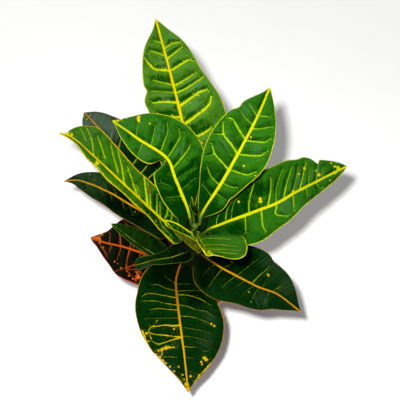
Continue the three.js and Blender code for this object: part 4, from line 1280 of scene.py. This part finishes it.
def build_stem():
    sides = BARK["sides"]
    top, bud_height = STEM["top"], STEM["bud_height"]
    turn = np.arange(sides) / sides * math.tau
    heights = np.concatenate((np.arange(STEM["foot"], top, BARK["row"]),
                              np.linspace(top, top + bud_height, BARK["bud_rows"])))
    amount, shortest, longest = BARK["unevenness"]
    rings = []
    for height in heights:
        radius = stem_radius(min(height, top)) + scar_rise(height, turn)
        bud = max(height - top, 0) / bud_height
        radius = radius * math.sqrt(max(1 - bud ** BARK["bud_power"], BARK["bud_tip"]))
        rng = np.random.default_rng(BARK["seed"])
        radius = radius * (1 + amount * uneven(rng, turn * BARK["arc"], height, shortest, longest))
        rings.append(ring(radius, height, sides, stem_axis(height)))
    faces = np.vstack((grid_faces(len(heights), sides, wrap=True), end_caps(len(heights), sides)))
    piece = new_piece("bark_stem", np.vstack(rings), faces, [bark_material()])
    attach(piece, "root")
    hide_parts("stem")


def wall_radius(height):
    top = POT["rim_radius"] - POT["rim_step"]
    return POT["base_radius"] + (top - POT["base_radius"]) * height / POT["height"]


def rounded(corners, steps=5):
    """A profile of (radius, height, rounding), with each corner turned into a small arc."""
    profile = [np.array(corners[0][:2], float)]
    for before, here, after in zip(corners, corners[1:], corners[2:]):
        corner = np.array(here[:2], float)
        back = np.array(before[:2]) - corner
        ahead = np.array(after[:2]) - corner
        first = corner + back / np.linalg.norm(back) * here[2]
        last = corner + ahead / np.linalg.norm(ahead) * here[2]
        for t in np.linspace(0, 1, steps):
            profile.append((1 - t) ** 2 * first + 2 * t * (1 - t) * corner + t * t * last)
    profile.append(np.array(corners[-1][:2], float))
    return profile


def pot_profile():
    """From the foot's middle out, up the outside, over the lip and down to the floor inside."""
    band = POT["height"] - POT["rim_depth"]
    rim = POT["rim_radius"]
    edge = POT["edge"]
    wall = POT["wall"]
    foot = POT["base_radius"] - edge
    return rounded([
        (foot - 4, 0, 0),
        (foot + 0.6, 0, 1.2),
        (wall_radius(edge), edge + 0.6, 0.9),
        (wall_radius(band), band, 0.7),
        (rim - POT["lip"] / 2, band + edge * 0.8, 0.7),
        (rim, POT["height"], 1.1),
        (rim - POT["lip"] - wall, POT["height"], 0.9),
        (wall_radius(band) - wall, band, 2.5),
        (wall_radius(POT["floor"]) - wall, POT["floor"], 1.8),
        (foot - 6, POT["floor"], 0),
    ])


def drained_plate(points, outline, drains):
    """Triangles that fill an outline ring and leave the drain rings open, facing up."""
    order = np.concatenate((outline, *drains))
    flat = [Vector(points[k][:2]) for k in order]
    edges, start = [], 0
    for loop in (outline, *drains):
        edges += [(start + k, start + (k + 1) % len(loop)) for k in range(len(loop))]
        start += len(loop)
    _, _, found, sources, _, _ = delaunay_2d_cdt(flat, edges, [], 0, 1e-5)
    triangles = []
    for face in found:
        corners = [order[sources[k][0]] for k in face]
        if not any(np.isin(corners, drain).all() for drain in drains):
            triangles.append(corners)
    return np.array(triangles)


def pot_material():
    g = Graph("pot_plastic")
    height = g.height()
    cloud = g.noise(28, 4, 0.6)
    colour = g.blend(g.step(cloud, 0.3, 0.7), linear((146, 74, 48)), linear((176, 98, 68)))
    low = g.step(g.total(0, (height, 1), (cloud, -0.03)), 0.012, -0.012)
    colour = g.blend(g.maths("MULTIPLY", low, 0.5), colour, linear((104, 62, 44)))
    chalk = g.step(g.total(0, (g.noise(90, 5, 0.7), 1), (height, 0.8)), 0.64, 0.82)
    colour = g.blend(g.maths("MULTIPLY", chalk, 0.35), colour, linear((206, 170, 148)))
    scuffs = g.noise(900, 4, 0.7)
    colour = g.blend(g.maths("MULTIPLY", g.step(scuffs, 0.62, 0.72), 0.25), colour, linear((120, 60, 40)))
    g.bump(g.total(0, (scuffs, 0.4), (g.noise(240, 3), 0.6)), 0.0003, 0.4)
    return g.finish(colour, g.between(cloud, 0.42, 0.6), 0.4)


def build_pot():
    sides = POT["sides"]
    profile = pot_profile()
    rings = [ring(radius, height, sides) for radius, height in profile]
    quads = [grid_faces(len(profile), sides, wrap=True)]
    count = len(profile) * sides
    outlines = (np.arange(sides), np.arange(sides) + count - sides)
    drains = ([], [])
    for k in range(POT["drains"]):
        turn = k / POT["drains"] * math.tau
        middle = (POT["drain_circle"] * math.cos(turn), POT["drain_circle"] * math.sin(turn))
        loop = np.arange(POT["drain_sides"])
        upper, lower = count + loop, count + loop + len(loop)
        rings += [ring(POT["drain_radius"], height, len(loop), middle) for height in (POT["floor"], 0)]
        quads.append(np.stack((upper, np.roll(upper, -1), np.roll(lower, -1), lower), -1))
        drains[0].append(lower)
        drains[1].append(upper)
        count += 2 * len(loop)
    points = np.vstack(rings)
    quads = np.vstack(quads)
    below = drained_plate(points, outlines[0], drains[0])[:, ::-1]
    inside = drained_plate(points, outlines[1], drains[1])
    faces = np.vstack((quads[:, :3], quads[:, [0, 2, 3]], below, inside))
    piece = new_piece("moulded_pot", points, faces, [pot_material()])
    piece.data.set_sharp_from_angle(angle=math.radians(40))
    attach(piece, "root")
    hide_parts("pot")


def soil_material():
    g = Graph("peaty_soil")
    crumbs = g.noise(380, 5, 0.7)
    colour = g.blend(g.step(crumbs, 0.35, 0.7), linear((20, 14, 9)), linear((66, 50, 34)))
    fibre = g.step(g.noise(160, 4, 0.7), 0.6, 0.68)
    colour = g.blend(g.maths("MULTIPLY", fibre, 0.5), colour, linear((88, 66, 42)))
    perlite = g.step(g.noise(520, 1, 0.4), 0.77, 0.79)
    colour = g.blend(perlite, colour, linear((186, 180, 166)))
    g.bump(g.total(0, (crumbs, 1), (g.noise(1200, 3), 0.4)), 0.0012, 0.9)
    return g.finish(colour, g.between(crumbs, 0.85, 1), 0.15)


def build_soil():
    """Crumbly soil that fills the pot up to its rim band, open around the stem."""
    sides = SOIL["sides"]
    gap = CLEARANCE
    hole = STEM["foot_radius"] + gap
    floor = POT["floor"] + gap
    top = STEM["soil"]
    shore = top - SOIL["slump"]
    ledge, ledge_rise = SOIL["ledge"]

    def inside(height):
        return wall_radius(height) - POT["wall"] - gap

    outer = inside(top) - SOIL["slump"]
    radii = np.arange(outer, hole + SOIL["collar"], -SOIL["grain"])
    marks = [hole, hole + SOIL["collar"], inside(top) * ledge, outer]
    rises = [SOIL["crown"] - SOIL["dip"], SOIL["crown"], SOIL["crown"] * ledge_rise, 0]
    rows = [(hole / 4, floor), (inside(floor), floor), (inside(shore), shore)]
    rows += [(radius, top + np.interp(radius, marks, rises)) for radius in radii]
    rows += [(hole, top + rises[0]), (hole, STEM["foot"] - gap), (hole / 4, STEM["foot"] - gap)]
    points = np.array([ring(radius, height, sides) for radius, height in rows])
    loose = points[3:3 + len(radii)]
    rng = np.random.default_rng(SOIL["seed"])
    coarse, fine = SOIL["crumb_lengths"]
    limit = SOIL["crumb_limit"]
    relief = np.abs(uneven(rng, loose[..., 0], loose[..., 1], *coarse)) - SOIL["crumb_base"]
    relief += SOIL["crumb_share"] * uneven(rng, loose[..., 0], loose[..., 1], *fine)
    loose[..., 2] += np.clip(relief * SOIL["crumb"], -limit, limit)
    faces = np.vstack((grid_faces(len(rows), sides, wrap=True), end_caps(len(rows), sides)))
    piece = new_piece("crumbly_soil", points.reshape(-1, 3), faces, [soil_material()])
    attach(piece, "root")
    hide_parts("soil")


build_stem()
build_pot()
build_soil()

# ---------------------------------------------------------------- stage

FLOOR_GLOW = 0.75
GLOW_REACH = (0.3, 1.5)  # metres from the plant at which the floor's glow starts and is full
FLOOR_REACH = 6000


def floor_material():
    """Pale, and lit from within away from the plant, so that it runs into the backdrop."""
    g = Graph("pale_floor")
    shade = g.blend(g.noise(6, 3), linear((247, 247, 246)), linear((251, 251, 250)))
    away = g.nodes.new("ShaderNodeVectorMath")
    away.operation = "LENGTH"
    g.links.new(g.place, away.inputs[0])
    glow = g.maths("MULTIPLY", g.step(away.outputs["Value"], *GLOW_REACH), FLOOR_GLOW)
    g.feed(g.shader.inputs["Emission Strength"], glow)
    g.shader.inputs["Emission Color"].default_value = (1, 1, 1, 1)
    g.bump(g.noise(300, 3), 0.0002, 0.2)
    return g.finish(shade, 0.8, 0.1)


corners = np.array([(-1, -1, 0), (1, -1, 0), (1, 1, 0), (-1, 1, 0)]) * FLOOR_REACH
floor = new_piece("floor", corners, np.array([[0, 1, 2, 3]]), [floor_material()])


def aim(thing, place, target):
    thing.location = Vector(place) * MM
    direction = Vector(target) * MM - thing.location
    thing.rotation_euler = direction.to_track_quat("-Z", "Y").to_euler()
    bpy.context.scene.collection.objects.link(thing)


def add_area(name, place, target, size, power):
    """A round lamp with its diameter in mm and its power in watts."""
    light = bpy.data.lights.new(name, "AREA")
    light.shape = "DISK"
    light.size = size * MM
    light.energy = power
    thing = bpy.data.objects.new(name, light)
    aim(thing, place, target)
    thing.visible_camera = False
    return thing


PLANT_MIDDLE = (8, 10, 230)
KEY_SHIFT = (-38, 42)  # how far the key stands right of the camera and above it
# The key stands beside the camera, so the shadow on the floor shows just right of and below the leaves.
key = add_area("key_light", EYE + RIGHT * KEY_SHIFT[0] + UP * KEY_SHIFT[1], PLANT_MIDDLE, 34, 11)
key.visible_glossy = False
# The window behind and to the left puts the sheen on the blades. The low panels light the pot and the
# undersides of the leaves, and hardly reach the floor.
add_area("soft_window", (-900, 1100, 1700), PLANT_MIDDLE, 900, 6)
add_area("left_panel", (-1500, 900, 500), PLANT_MIDDLE, 1200, 7)
add_area("right_panel", (1600, 100, 450), PLANT_MIDDLE, 1200, 4)
add_area("front_panel", (-300, -1700, 450), PLANT_MIDDLE, 1200, 4)


def pale_world(fill, backdrop):
    """Even light all around, in front of a paler backdrop."""
    world = bpy.data.worlds.new("pale_room")
    bpy.context.scene.world = world
    world.use_nodes = True
    nodes, links = world.node_tree.nodes, world.node_tree.links
    seen = nodes.new("ShaderNodeLightPath").outputs["Is Camera Ray"]
    strength = nodes.new("ShaderNodeMapRange")
    links.new(seen, strength.inputs["Value"])
    strength.inputs["To Min"].default_value = fill
    strength.inputs["To Max"].default_value = backdrop
    nodes["Background"].inputs["Color"].default_value = (1, 1, 1, 1)
    links.new(strength.outputs["Result"], nodes["Background"].inputs["Strength"])


pale_world(fill=0.12, backdrop=0.9)

camera_data = bpy.data.cameras.new("camera")
camera_data.sensor_width = SENSOR
camera_data.lens = SENSOR * FOCAL_PIXELS / PHOTO_PIXELS
camera = bpy.data.objects.new("camera", camera_data)
aim(camera, EYE, VIEW_TARGET)
bpy.context.scene.camera = camera
bpy.context.scene.view_settings.view_transform = "Standard"
